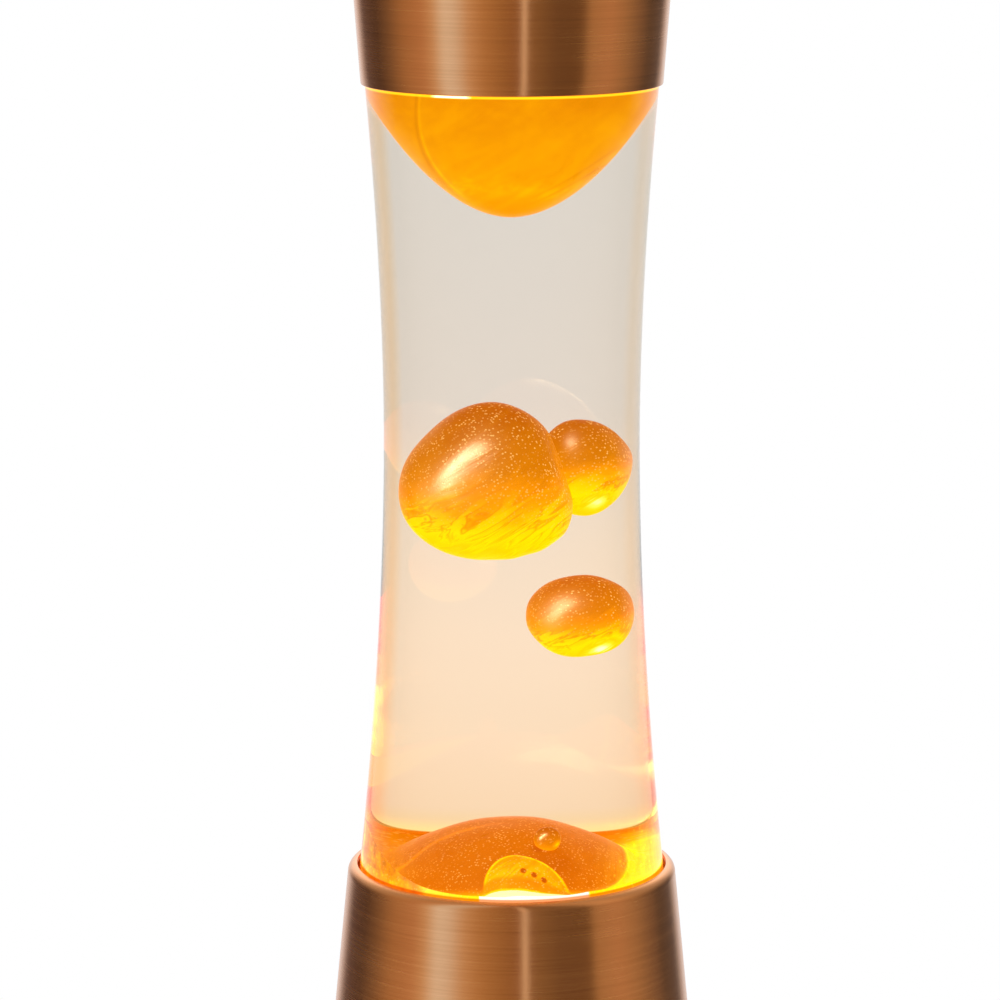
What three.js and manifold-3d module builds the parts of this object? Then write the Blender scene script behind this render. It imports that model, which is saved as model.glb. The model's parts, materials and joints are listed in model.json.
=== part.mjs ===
// Lava lamp: a spun copper-finished base and cap with an hourglass glass bottle between them.
// Units are millimetres, +Z is up, and the origin is the centre of the footprint on the table.
import * as THREE from 'three';
import * as BufferGeometryUtils from 'three/addons/utils/BufferGeometryUtils.js';
import Module from 'manifold-3d';

const wasm = await Module();
wasm.setup();

// ---------------------------------------------------------------- driving dimensions

const LAMP_HEIGHT = 400;
const GAP = 0.3; // clearance between pieces that touch
const ROUND = 28; // segments round the large pieces
const ROUND_MEDIUM = 20;
const ROUND_SMALL = 10;
const ROUND_THREAD = 20;

// Base shell: a spun cone, open at both ends, with a rounded lip at the top.
const BASE_HEIGHT = 130;
const BASE_FOOT_RADIUS = 55;
const BASE_SLOPE = 0.0985; // loss of radius per millimetre of height
const BASE_WALL = 1.2;
const SHELL_FOOT_Z = 1.2;
const LIP_INNER_RADIUS = 40.5;
const LIP_ROUND = 2.4;

// Base floor: a flanged ring inside the shell's foot, the cover under its flange, and the rubber feet.
const FLANGE_Z = 4.6;
const FLANGE_THICKNESS = 1.2;
const FLANGE_INNER_RADIUS = 45;
const FOOT_RING_OUTER = 52.7;
const FOOT_RING_Z = 1.8;
const FOOT_RING_TOP_Z = 9;
const COVER_Z = 3.1;
const COVER_THICKNESS = 1.2;
const COVER_RADIUS = 51.1;
const COVER_SCREW_RADIUS = 47.8;
const COVER_SCREW_COUNT = 3;
const SCREW_HOLE_RADIUS = 1.75;
const FOOT_COUNT = 4;
const FOOT_CIRCLE_RADIUS = 40;
const FOOT_RADIUS = 5;
const VENT_COUNT = 10;
const VENT_RADIUS = 29;
const VENT_LENGTH = 13;
const VENT_WIDTH = 3.2;
// The cord's inlet is low on the back of the base.
const GROMMET = { z: 21, bore: 3.2, neckRadius: 4.6, flangeRadius: 6, flange: 0.8 };

// Glass bottle: the waist and the two flares that make the hourglass.
const WAIST_Z = 243;
const WAIST_RADIUS = 32.7;
const FLARE_POWER = 1.83;
const LOWER_FLARE = 6.7; // gain of radius from the waist down to the base lip
const UPPER_FLARE = 4.4; // gain of radius from the waist up to the cap edge
const CAP_EDGE_Z = 332;
const GLASS_WALL = 2.6;
const BOTTLE_FOOT_Z = 104.8;
const BOTTLE_FOOT_RADIUS = 39.6;
const BOTTLE_CORNER = 7;
const BOTTLE_FLOOR_Z = 110;
const SHOULDER_Z = 334;
const HOURGLASS_STEPS = 8;
const NECK_Z = 374;
const NECK_RADIUS = 13;
const BEAD_Z = 389.5;
const BEAD_RADIUS = 13.6;
const BOTTLE_LIP_Z = 395.8;

// Cap: a spun cup that narrows towards its open lower edge.
const CAP_EDGE_RADIUS = 38.1;
const CAP_SLOPE = 0.0773;
const CAP_WALL = 0.7;
const CAP_TOP_THICKNESS = 1.2;
const CAP_CORNER = 5;

// Wax and liquid
const POOL_EDGE_Z = 121.5;
const POOL_APEX_Z = 142.6;
const POOL_POWER = 2.2;
const DOME_APEX_Z = 299.9;
const DOME_DROP = 28.8; // height from the dome's tip to the ring of radius DOME_RING
const DOME_RING = 26.8;
const DOME_POWER = 2.3;
const DOME_TOP_Z = 348;
const DOME_RADIUS = 30.4; // the largest at which its underside is still inside the shoulder
const LIQUID_RADIUS_STEPS = 5;
const COIL_CHANNEL = { inner: 15.5, outer: 25, height: 9.5 };
const WELL_GAP = 0.5;
const LARGE_BLOB = { centre: [-4.8, -2, 231.5], size: [16.2, 15, 20.3] };
const LARGE_BLOB_NARROWING = 0.08;
const UPPER_BLOB = { centre: [16.4, 9.6, 235.3], size: [8.6, 8.6, 12.6] };
const LOWER_BLOB = { centre: [12.6, 3, 196], size: [10.1, 10.1, 10.9], sink: 30 };
const BEAD = { centre: [6.8, -14, 140.6], size: [3.2, 3.2, 3.2] };

// Reflector bulb and its screw holder (small Edison thread)
const THREAD_PITCH = 2.822;
const THREAD_RADIUS = 6.545;
const THREAD_DEPTH = 0.4;
const THREAD_CLEARANCE = 0.6;
const THREAD_STEPS_PER_TURN = 6;
const BULB_RADIUS = 19.5;
const BULB_TIP_Z = 24.3;
const BULB_TOP_Z = 90;
const BULB_CAP = { z: 29.6, topZ: 47, inner: 5.4 };
const BULB_NECK = { outer: 5.1, z: 43 };
const HOLDER_RADIUS = 13.7;
const HOLDER_Z = 17;
const HOLDER_TOP_Z = 50;
const HOLDER_BORE = 8.4;
const SOCKET_RADIUS = 8.05;
const SOCKET_Z = 32.5;
const SOCKET_TOP_Z = 45;
const NIPPLE_RADIUS = 5;
const NIPPLE_BORE = 3.6;
const BRACKET_TOP_Z = 15;
const BRACKET_THICKNESS = 1.5;
const BRACKET_WIDTH = 18;
const BRACKET_HALF_SPAN = 20;
const BRACKET_TOE = 11;
const EARTH_PLACE = [-15.8, 5];
const EARTH_TAG_RADIUS = 3.4;
const EARTH_TAG_THICKNESS = 0.8;
const SEAT_Z = 103.3;
const SEAT_THICKNESS = 1.2;
const SEAT_HOLE_RADIUS = 29;
const LEAD_RADIUS = 0.9;
const TERMINAL = { y: 31, width: 24, depth: 14, pitch: 7.5, bore: 1.6, wireZ: 11, low: 4.7, high: 16 };
const POLES = [-1, 0, 1].map((side) => side * TERMINAL.pitch);

// ---------------------------------------------------------------- materials

function finish(color, roughness, metalness) {
  return new THREE.MeshStandardMaterial({ color, roughness, metalness });
}

const copper = finish(0xb0723c, 0.32, 1);
const glass = finish(0xe8ece8, 0.05, 0);
const liquidClear = finish(0xf4dcc0, 0.1, 0);
const wax = finish(0xf08a10, 0.4, 0);
const steel = finish(0xb9bcc0, 0.35, 1);
const brass = finish(0xc9a24b, 0.35, 1);
const blackPlastic = finish(0x1c1c1e, 0.55, 0);
const rubber = finish(0x202022, 0.9, 0);
const solder = finish(0xa7a9ac, 0.45, 1);
const linerPlastic = finish(0xd8d8d2, 0.6, 0);
const liveInsulation = finish(0x6b3f22, 0.5, 0);
const neutralInsulation = finish(0x2b55a8, 0.5, 0);
const earthInsulation = finish(0x6f9a2e, 0.5, 0);

// ---------------------------------------------------------------- geometry helpers

// One closed skin: only positions, shared vertices merged, no collapsed triangles.
function weld(source) {
  const bare = source.clone();
  bare.deleteAttribute('normal');
  bare.deleteAttribute('uv');
  const merged = BufferGeometryUtils.mergeVertices(bare, 1e-4);
  const kept = [];
  for (let i = 0; i < merged.index.count; i += 3) {
    const [a, b, c] = [0, 1, 2].map((k) => merged.index.getX(i + k));
    if (a !== b && b !== c && c !== a) kept.push(a, b, c);
  }
  merged.setIndex(kept);
  return merged;
}

function toSolid(geometry) {
  const skin = weld(geometry);
  const vertProperties = new Float32Array(skin.attributes.position.array);
  const triVerts = new Uint32Array(skin.index.array);
  return new wasm.Manifold(new wasm.Mesh({ numProp: 3, vertProperties, triVerts }));
}

function toGeometry(solid) {
  const mesh = solid.getMesh();
  const geometry = new THREE.BufferGeometry();
  geometry.setAttribute('position', new THREE.BufferAttribute(mesh.vertProperties, 3));
  geometry.setIndex(new THREE.BufferAttribute(mesh.triVerts, 1));
  return geometry;
}

function cut(body, tools) {
  return toGeometry(tools.reduce((solid, tool) => solid.subtract(toSolid(tool)), toSolid(body)));
}

// Turns an outline of [radius, height] points about the Z axis.
// An outline that leaves the axis closes on itself; its direction is set so that faces point out.
function revolve(outline, segments = ROUND) {
  const points = outline.map(([radius, height]) => new THREE.Vector2(radius, height));
  if (THREE.ShapeUtils.area(points) < 0) points.reverse();
  const onAxis = points[0].x === 0 || points[points.length - 1].x === 0;
  if (!onAxis) points.push(points[0].clone());
  return new THREE.LatheGeometry(points, segments).rotateX(Math.PI / 2);
}

function arcPoints(centreRadius, centreHeight, radius, startDeg, endDeg, steps) {
  const points = [];
  for (let i = 0; i <= steps; i += 1) {
    const angle = THREE.MathUtils.degToRad(startDeg + ((endDeg - startDeg) * i) / steps);
    points.push([centreRadius + radius * Math.cos(angle), centreHeight + radius * Math.sin(angle)]);
  }
  return points;
}

function bezierPoints(start, startHandle, endHandle, end, steps) {
  const corners = [start, startHandle, endHandle, end].map(([x, y]) => new THREE.Vector2(x, y));
  return new THREE.CubicBezierCurve(...corners).getPoints(steps).map((point) => [point.x, point.y]);
}

// A list of heights or radii from start to end, both included.
function stations(start, end, steps) {
  return Array.from({ length: steps + 1 }, (unused, i) => start + ((end - start) * i) / steps);
}

// An upright cylinder from one height to another.
function post(radius, low, high, segments = ROUND_SMALL) {
  return revolve([[0, low], [radius, low], [radius, high], [0, high]], segments);
}

// A round hole's tool at a place on the floor.
function drill(radius, [x, y], low, high) {
  return post(radius, low, high).translate(x, y, 0);
}

function ring(innerRadius, outerRadius, low, high, segments = ROUND_MEDIUM) {
  const outline = [[innerRadius, low], [outerRadius, low], [outerRadius, high], [innerRadius, high]];
  return revolve(outline, segments);
}

function box(sizeX, sizeY, low, high) {
  return new THREE.BoxGeometry(sizeX, sizeY, high - low).translate(0, 0, (low + high) / 2);
}

// A point at a radius and a bearing (degrees from +X towards +Y).
function polar(radius, degrees) {
  const angle = THREE.MathUtils.degToRad(degrees);
  return [radius * Math.cos(angle), radius * Math.sin(angle)];
}

function bearings(count, firstDegrees) {
  return Array.from({ length: count }, (unused, i) => firstDegrees + (360 * i) / count);
}

// A round bar along a curve through the given points.
function wire(points, radius, steps, sides = 8) {
  const extrudePath = new THREE.CatmullRomCurve3(points.map((point) => new THREE.Vector3(...point)));
  const corners = bearings(sides, 0).map((degrees) => new THREE.Vector2(...polar(radius, degrees)));
  const section = new THREE.Shape(corners);
  return new THREE.ExtrudeGeometry(section, { steps, extrudePath, bevelEnabled: false });
}

// ---------------------------------------------------------------- base

function baseRadius(z) {
  return BASE_FOOT_RADIUS - BASE_SLOPE * (z - SHELL_FOOT_Z);
}

function baseShell() {
  const shoulderZ = BASE_HEIGHT - LIP_ROUND;
  const lipCentre = baseRadius(shoulderZ) - LIP_ROUND;
  const innerRound = LIP_ROUND - BASE_WALL;
  const outline = [
    [baseRadius(SHELL_FOOT_Z) - BASE_WALL, SHELL_FOOT_Z],
    [baseRadius(SHELL_FOOT_Z), SHELL_FOOT_Z],
    ...arcPoints(lipCentre, shoulderZ, LIP_ROUND, 0, 90, 4),
    [LIP_INNER_RADIUS, BASE_HEIGHT],
    [LIP_INNER_RADIUS, BASE_HEIGHT - BASE_WALL],
    ...arcPoints(lipCentre, shoulderZ, innerRound, 90, 0, 2),
  ];
  const inletHole = post(GROMMET.neckRadius + GAP, -4, 4, ROUND_SMALL + 2);
  return cut(revolve(outline), [grommetPlace(inletHole)]);
}

// A steel ring pressed into the shell's foot; its flange takes the cover's screws.
function baseFootRing() {
  const wall = FOOT_RING_OUTER - BASE_WALL;
  const flangeTop = FLANGE_Z + FLANGE_THICKNESS;
  const outline = [
    [FLANGE_INNER_RADIUS, FLANGE_Z],
    [wall, FLANGE_Z],
    [wall, FOOT_RING_Z],
    [FOOT_RING_OUTER, FOOT_RING_Z],
    [FOOT_RING_OUTER, FOOT_RING_TOP_Z],
    [wall, FOOT_RING_TOP_Z],
    [wall, flangeTop],
    [FLANGE_INNER_RADIUS, flangeTop],
  ];
  const screwHoles = coverScrewPlaces().map((place) => {
    return drill(SCREW_HOLE_RADIUS, place, FLANGE_Z - 1, flangeTop + 1);
  });
  return cut(revolve(outline), screwHoles);
}

// Turns a piece made along Z so that it lies square to the base's back wall, centred in its thickness.
function grommetPlace(geometry) {
  const tilt = -Math.PI / 2 + Math.atan(BASE_SLOPE);
  const wallCentre = baseRadius(GROMMET.z) - BASE_WALL / 2;
  return geometry.rotateX(tilt).translate(0, wallCentre, GROMMET.z);
}

function cableGrommet() {
  const outside = BASE_WALL / 2 + GAP;
  const inside = BASE_WALL / 2 + 4 * GAP; // the curved wall falls away behind the flat flange
  const outline = [
    [GROMMET.bore, -inside - GROMMET.flange],
    [GROMMET.flangeRadius, -inside - GROMMET.flange],
    [GROMMET.flangeRadius, -inside],
    [GROMMET.neckRadius, -inside],
    [GROMMET.neckRadius, outside],
    [GROMMET.flangeRadius, outside],
    [GROMMET.flangeRadius, outside + GROMMET.flange],
    [GROMMET.bore, outside + GROMMET.flange],
  ];
  return grommetPlace(revolve(outline, ROUND_SMALL + 2));
}

function coverScrewPlaces() {
  return bearings(COVER_SCREW_COUNT, 90).map((degrees) => polar(COVER_SCREW_RADIUS, degrees));
}

function bracketScrewPlaces() {
  return [-1, 1].map((side) => [side * (BRACKET_HALF_SPAN + BRACKET_TOE / 2), 0]);
}

function bottomCover() {
  const top = COVER_Z + COVER_THICKNESS;
  const holes = [...coverScrewPlaces(), ...bracketScrewPlaces()].map(([x, y]) => {
    return post(SCREW_HOLE_RADIUS, COVER_Z - 1, top + 1).translate(x, y, 0);
  });
  const vents = bearings(VENT_COUNT, 18).map((degrees) => {
    const slot = box(VENT_WIDTH, VENT_LENGTH, COVER_Z - 1, top + 1);
    const [x, y] = polar(VENT_RADIUS, degrees);
    return slot.rotateZ(THREE.MathUtils.degToRad(degrees)).translate(x, y, 0);
  });
  return cut(post(COVER_RADIUS, COVER_Z, top, ROUND), [...holes, ...vents]);
}

// A pan-head screw standing on its point, with a straight slot: head under headZ, shank above it.
function risingScrew([x, y], headZ, length) {
  const headRadius = 3;
  const headHeight = 1.4;
  const shankRadius = 1.4;
  const outline = [
    [0, headZ - headHeight],
    [headRadius * 0.75, headZ - headHeight],
    [headRadius, headZ - headHeight / 2],
    [headRadius, headZ],
    [shankRadius, headZ],
    [shankRadius, headZ + length - 1],
    [0, headZ + length],
  ];
  const slot = box(0.8, 3 * headRadius, headZ - headHeight - 1, headZ - headHeight + 0.6);
  return cut(revolve(outline, ROUND_SMALL), [slot]).translate(x, y, 0);
}

// The same screw driven downwards: its head stands on headZ.
function fallingScrew([x, y], headZ, length, scale = 1) {
  const screw = risingScrew([0, 0], 0, length / scale);
  return screw.rotateX(Math.PI).scale(scale, scale, scale).translate(x, y, headZ);
}

function rubberFoot([x, y]) {
  const top = COVER_Z - GAP;
  const chamfer = 0.5;
  const outline = [
    [0, 0],
    [FOOT_RADIUS - chamfer, 0],
    [FOOT_RADIUS, chamfer],
    [FOOT_RADIUS, top],
    [0, top],
  ];
  return revolve(outline, ROUND_SMALL + 2).translate(x, y, 0);
}

// A pressed ring that carries the bottle: a flat seat with a turned-down skirt against the shell.
function bottleSeatRing() {
  const top = SEAT_Z + SEAT_THICKNESS;
  const outerRadius = baseRadius(top) - BASE_WALL - GAP;
  const skirt = 8;
  const outline = [
    [SEAT_HOLE_RADIUS, SEAT_Z],
    [outerRadius - SEAT_THICKNESS, SEAT_Z],
    [outerRadius - SEAT_THICKNESS, SEAT_Z - skirt],
    [outerRadius, SEAT_Z - skirt],
    [outerRadius, top],
    [SEAT_HOLE_RADIUS, top],
  ];
  const airHoles = bearings(6, 0).map((degrees) => {
    const [x, y] = polar(38, degrees);
    return post(2.4, SEAT_Z - 1, top + 1).translate(x, y, 0);
  });
  return cut(revolve(outline), airHoles);
}

// A bridge of strip steel: a raised middle with a hole for the nipple, and two toes on the cover.
function holderBracket() {
  const toeTop = COVER_Z + COVER_THICKNESS + GAP + BRACKET_THICKNESS;
  const toeEnd = BRACKET_HALF_SPAN + BRACKET_TOE;
  const half = [
    [toeEnd, toeTop - BRACKET_THICKNESS],
    [toeEnd, toeTop],
    [BRACKET_HALF_SPAN, toeTop],
    [BRACKET_HALF_SPAN, BRACKET_TOP_Z],
  ];
  const halfBack = [
    [BRACKET_HALF_SPAN - BRACKET_THICKNESS, BRACKET_TOP_Z - BRACKET_THICKNESS],
    [BRACKET_HALF_SPAN - BRACKET_THICKNESS, toeTop - BRACKET_THICKNESS],
  ];
  const mirrored = (points) => points.map(([x, z]) => [-x, z]).reverse();
  const outline = [...half, ...mirrored(half), ...mirrored(halfBack), ...halfBack];
  const profile = new THREE.Shape(outline.map(([x, z]) => new THREE.Vector2(x, z)));
  const strip = new THREE.ExtrudeGeometry(profile, { depth: BRACKET_WIDTH, bevelEnabled: false });
  strip.rotateX(Math.PI / 2).translate(0, BRACKET_WIDTH / 2, 0);
  const holes = bracketScrewPlaces().map((place) => drill(SCREW_HOLE_RADIUS, place, 0, toeTop + 1));
  const nippleHole = post(NIPPLE_RADIUS + GAP, BRACKET_TOP_Z - 3, BRACKET_TOP_Z + 1, 16);
  const earthHole = drill(SCREW_HOLE_RADIUS, EARTH_PLACE, BRACKET_TOP_Z - 3, BRACKET_TOP_Z + 1);
  return cut(strip, [...holes, nippleHole, earthHole]);
}

// A hollow threaded tube that ties the holder to the bracket; the leads pass through it.
function holderNipple() {
  return ring(NIPPLE_BORE, NIPPLE_RADIUS, 8.6, HOLDER_Z + 3, 16);
}

function holderNut() {
  const top = BRACKET_TOP_Z - BRACKET_THICKNESS - GAP;
  const acrossCorners = 14 / Math.cos(Math.PI / 6);
  const hex = post(acrossCorners / 2, top - 3.2, top, 6);
  return cut(hex, [post(NIPPLE_RADIUS + GAP, 0, top + 1, 16)]);
}

function lampHolderBody() {
  const floorTop = HOLDER_Z + 5;
  const outline = [
    [NIPPLE_RADIUS + GAP, HOLDER_Z - 1.7],
    [HOLDER_RADIUS - 3, HOLDER_Z - 1.7],
    [HOLDER_RADIUS, HOLDER_Z + 2],
    [HOLDER_RADIUS, HOLDER_TOP_Z - 6],
    [HOLDER_RADIUS + 1, HOLDER_TOP_Z - 5],
    [HOLDER_RADIUS + 1, HOLDER_TOP_Z],
    [HOLDER_BORE + 1.2, HOLDER_TOP_Z],
    [HOLDER_BORE, HOLDER_TOP_Z - 1.2],
    [HOLDER_BORE, floorTop],
    [NIPPLE_BORE, floorTop],
    [NIPPLE_BORE, HOLDER_Z + 3 + GAP],
    [NIPPLE_RADIUS + GAP, HOLDER_Z + 3 + GAP],
  ];
  return revolve(outline, ROUND_MEDIUM);
}

// The contact strip bends over the leads' hole and presses up on the bulb's tip.
function socketContact() {
  const low = HOLDER_Z + 5 + GAP;
  const high = BULB_TIP_Z - GAP;
  const leaf = 0.5;
  const reach = 6.4;
  const crown = 2.4;
  const outline = [
    [-reach, low], [-reach + 2.4, low], [-crown, high - leaf], [crown, high - leaf], [reach - 2.4, low],
    [reach, low], [reach, low + leaf], [reach - 2.2, low + leaf], [crown + 0.2, high], [-crown - 0.2, high],
    [-reach + 2.2, low + leaf], [-reach, low + leaf],
  ];
  const profile = new THREE.Shape(outline.map(([x, z]) => new THREE.Vector2(x, z)));
  const strip = new THREE.ExtrudeGeometry(profile, { depth: 4, bevelEnabled: false });
  return strip.rotateX(Math.PI / 2).translate(0, 2, 0);
}

// Shifts the points of a revolved skin in and out along a helix, to make a rolled Edison thread.
// Points nearer the axis than splitRadius, or outside the given heights, stay where they are.
function rollThread(geometry, low, high, isThreaded) {
  const position = geometry.attributes.position;
  for (let i = 0; i < position.count; i += 1) {
    const [x, y, z] = [position.getX(i), position.getY(i), position.getZ(i)];
    const radius = Math.hypot(x, y);
    if (z > low && z < high && isThreaded(radius)) {
      const phase = (2 * Math.PI * z) / THREAD_PITCH - Math.atan2(y, x);
      const grown = (radius + THREAD_DEPTH * Math.cos(phase)) / radius;
      position.setXY(i, x * grown, y * grown);
    }
  }
  return geometry;
}

// Heights on one grid for both threads, so that their facets face each other.
function threadStations(low, high) {
  const step = THREAD_PITCH / THREAD_STEPS_PER_TURN;
  const first = Math.ceil(low / step);
  const last = Math.floor(high / step);
  return stations(first * step, last * step, last - first);
}

// A brass sleeve in the holder, rolled inside to the bulb's thread.
function socketThreadShell() {
  const innerRadius = THREAD_RADIUS + THREAD_CLEARANCE;
  const wall = threadStations(SOCKET_Z, SOCKET_TOP_Z).map((z) => [innerRadius, z]);
  const [foot, top] = [wall[0][1], wall[wall.length - 1][1]];
  const outline = [[SOCKET_RADIUS, foot], [SOCKET_RADIUS, top], ...wall.reverse()];
  const skin = weld(revolve(outline, ROUND_THREAD));
  return rollThread(skin, SOCKET_Z - 1, SOCKET_TOP_Z + 1, (radius) => radius < innerRadius + 0.1);
}

// ---------------------------------------------------------------- bulb

function bulbScrewCap() {
  const threadLow = SOCKET_Z + 0.5;
  const threadHigh = SOCKET_TOP_Z + 0.5;
  const wall = threadStations(threadLow, threadHigh).map((z) => [THREAD_RADIUS, z]);
  const outline = [
    [BULB_CAP.inner, BULB_CAP.z],
    [THREAD_RADIUS - THREAD_DEPTH, BULB_CAP.z],
    ...wall,
    [THREAD_RADIUS, BULB_CAP.topZ],
    [BULB_CAP.inner, BULB_CAP.topZ],
  ];
  const skin = weld(revolve(outline, ROUND_THREAD));
  return rollThread(skin, threadLow + 0.1, threadHigh - 0.1, (radius) => radius > THREAD_RADIUS - 0.1);
}

function bulbInsulator() {
  const outline = [
    [1.2, 26.9],
    [3.2, 26.9],
    [THREAD_RADIUS - THREAD_DEPTH, 28.6],
    [THREAD_RADIUS - THREAD_DEPTH, BULB_CAP.z - GAP],
    [1.2, BULB_CAP.z - GAP],
  ];
  return revolve(outline, 16);
}

function bulbContactTip() {
  const outline = [
    [0, BULB_TIP_Z],
    [1.6, BULB_TIP_Z + 0.3],
    [2.4, BULB_TIP_Z + 1],
    [2.6, 26.6],
    [0, 26.6],
  ];
  return revolve(outline, ROUND_SMALL);
}

// A reflector envelope: a narrow neck, a parabolic flank and a shallow domed face, open at the neck.
function bulbEnvelope() {
  const skin = 0.9;
  const faceEdgeZ = BULB_TOP_Z - 9;
  const neck = BULB_NECK.outer;
  const rim = BULB_RADIUS;
  const flank = bezierPoints([neck, 49], [neck + 3, 57], [rim - 1, 66], [rim, 77], 5);
  const face = bezierPoints([rim, faceEdgeZ], [rim - 1, 86], [9, BULB_TOP_Z], [0, BULB_TOP_Z], 4);
  const outer = [[neck, BULB_NECK.z], ...flank, ...face];
  const inner = outer.map(([radius, z]) => {
    if (z >= faceEdgeZ) return [Math.max(radius - skin, 0), z - skin];
    return [radius - skin, z];
  });
  return revolve([...outer, ...inner.reverse()], ROUND_MEDIUM);
}

// The glass stem stands inside the neck and carries the filament's legs.
function bulbStem() {
  const outline = [[0, BULB_NECK.z - 6], [3.4, BULB_NECK.z - 6], [1.8, 50], [1.2, 56], [0, 56]];
  return revolve(outline, ROUND_SMALL);
}

function bulbFilament() {
  const legX = 2.4;
  const footZ = 53;
  const topZ = 68;
  const points = [[-legX, 0, footZ], [-legX - 1, 0, 60], [-5, 0, topZ]];
  const waves = 6;
  for (let i = 1; i < 2 * waves; i += 1) {
    const share = i / (2 * waves);
    points.push([-5 + 10 * share, 3 * Math.sin(Math.PI * share), topZ + (i % 2 ? 1.2 : -0.2)]);
  }
  points.push([5, 0, topZ], [legX + 1, 0, 60], [legX, 0, footZ]);
  return wire(points, 0.35, 40, 4);
}

// ---------------------------------------------------------------- electrical pieces in the base

function terminalBlock() {
  const body = box(TERMINAL.width, TERMINAL.depth, TERMINAL.low, TERMINAL.high).translate(0, TERMINAL.y, 0);
  const bores = POLES.map((x) => {
    const bore = post(TERMINAL.bore, -TERMINAL.depth, TERMINAL.depth, 10);
    return bore.rotateX(Math.PI / 2).translate(x, TERMINAL.y, TERMINAL.wireZ);
  });
  const screwHoles = POLES.map((x) => drill(1.9, [x, TERMINAL.y], TERMINAL.wireZ, TERMINAL.high + 1));
  return cut(body, [...bores, ...screwHoles]);
}

function terminalScrew(x) {
  return fallingScrew([x, TERMINAL.y], TERMINAL.high - 2, 2.8, 0.55);
}

// The two supply leads leave the block, pass under the nipple and rise through it into the holder.
function supplyLead(poleX, riseX) {
  const start = TERMINAL.y - 4;
  const points = [
    [poleX, start, TERMINAL.wireZ],
    [poleX, TERMINAL.y - 10, TERMINAL.wireZ - 0.5],
    [poleX * 0.6 + riseX * 0.4, 12, 7],
    [riseX, 3, 6.4],
    [riseX, 0, 9.5],
    [riseX, 0, 15],
    [riseX, 0, HOLDER_Z + 4.6],
  ];
  return wire(points, LEAD_RADIUS, 18, 8);
}

function earthRing() {
  const [x, y] = EARTH_PLACE;
  const low = BRACKET_TOP_Z + GAP;
  const tag = ring(SCREW_HOLE_RADIUS, EARTH_TAG_RADIUS, low, low + EARTH_TAG_THICKNESS, ROUND_SMALL + 2);
  return tag.translate(x, y, 0);
}

function earthLead() {
  const [x, y] = EARTH_PLACE;
  const ringCentreZ = BRACKET_TOP_Z + GAP + LEAD_RADIUS;
  const points = [
    [POLES[0], TERMINAL.y - 4, TERMINAL.wireZ],
    [POLES[0] - 1, TERMINAL.y - 9, TERMINAL.wireZ + 1],
    [x + 3, 18, 15.5],
    [x, 12, ringCentreZ + 0.4],
    [x, y + 3.4 + GAP, ringCentreZ],
  ];
  return wire(points, LEAD_RADIUS, 14, 8);
}

// ---------------------------------------------------------------- bottle

function glassRadius(z) {
  const span = z < WAIST_Z ? WAIST_Z - BASE_HEIGHT : CAP_EDGE_Z - WAIST_Z;
  const flare = z < WAIST_Z ? LOWER_FLARE : UPPER_FLARE;
  const grown = WAIST_RADIUS + flare * (Math.abs(z - WAIST_Z) / span) ** FLARE_POWER;
  return Math.min(grown, BOTTLE_FOOT_RADIUS);
}

// The hourglass stretch and the shoulder, drawn at a distance inside the outer surface.
function glassWallPoints(inset, low) {
  const heights = [low, ...stations(BASE_HEIGHT, SHOULDER_Z, HOURGLASS_STEPS)];
  const waist = heights.map((z) => [glassRadius(z) - inset, z]);
  const neck = NECK_RADIUS - inset;
  const start = waist.pop();
  const bend = 18 - inset / 2;
  const bendZ = SHOULDER_Z + bend;
  const shoulder = bezierPoints(start, [start[0] + 0.5, bendZ], [neck, bendZ], [neck, NECK_Z], 5);
  return [...waist, ...shoulder];
}

function glassBottle() {
  const cornerCentre = BOTTLE_FOOT_RADIUS - BOTTLE_CORNER;
  const innerCorner = BOTTLE_CORNER - GLASS_WALL;
  const outline = [
    [0, BOTTLE_FOOT_Z + 2],
    [BOTTLE_FOOT_RADIUS - 15, BOTTLE_FOOT_Z + 1.5],
    ...arcPoints(cornerCentre, BOTTLE_FOOT_Z + BOTTLE_CORNER, BOTTLE_CORNER, -90, 0, 3),
    ...glassWallPoints(0, BOTTLE_FOOT_Z + 13),
    [NECK_RADIUS, BEAD_Z],
    [BEAD_RADIUS, BEAD_Z + 1],
    [BEAD_RADIUS, BOTTLE_LIP_Z - 1],
    [BEAD_RADIUS - 1, BOTTLE_LIP_Z],
    [NECK_RADIUS - GLASS_WALL, BOTTLE_LIP_Z],
    ...glassWallPoints(GLASS_WALL, BOTTLE_FLOOR_Z + innerCorner + 3).reverse(),
    ...arcPoints(cornerCentre, BOTTLE_FLOOR_Z + innerCorner, innerCorner, 0, -90, 2),
    [0, BOTTLE_FLOOR_Z],
  ];
  return revolve(outline);
}

function closureLiner() {
  return post(12.4, BOTTLE_LIP_Z + GAP, BOTTLE_LIP_Z + GAP + 1, ROUND_MEDIUM);
}

// A crown closure: a shallow steel cup with a fluted skirt.
function bottleCrownCap() {
  const innerTop = BOTTLE_LIP_Z + 1.6;
  const top = innerTop + 1;
  const flutes = 21;
  const skirtZ = BOTTLE_LIP_Z - 4.6;
  const outline = [
    [0, innerTop],
    [BEAD_RADIUS + 0.4, innerTop],
    [BEAD_RADIUS + 0.4, skirtZ],
    [BEAD_RADIUS + 1.6, skirtZ],
    [BEAD_RADIUS + 0.9, top - 1],
    [BEAD_RADIUS - 1, top],
    [0, top],
  ];
  const cup = weld(revolve(outline, 2 * flutes));
  const position = cup.attributes.position;
  for (let i = 0; i < position.count; i += 1) {
    const radius = Math.hypot(position.getX(i), position.getY(i));
    if (position.getZ(i) < skirtZ + 0.1 && radius > BEAD_RADIUS + 1) {
      const angle = Math.atan2(position.getY(i), position.getX(i));
      const grown = (radius + 0.5 * Math.cos(flutes * angle)) / radius;
      position.setXY(i, position.getX(i) * grown, position.getY(i) * grown);
    }
  }
  return cup;
}

// ---------------------------------------------------------------- wax and liquid

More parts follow.
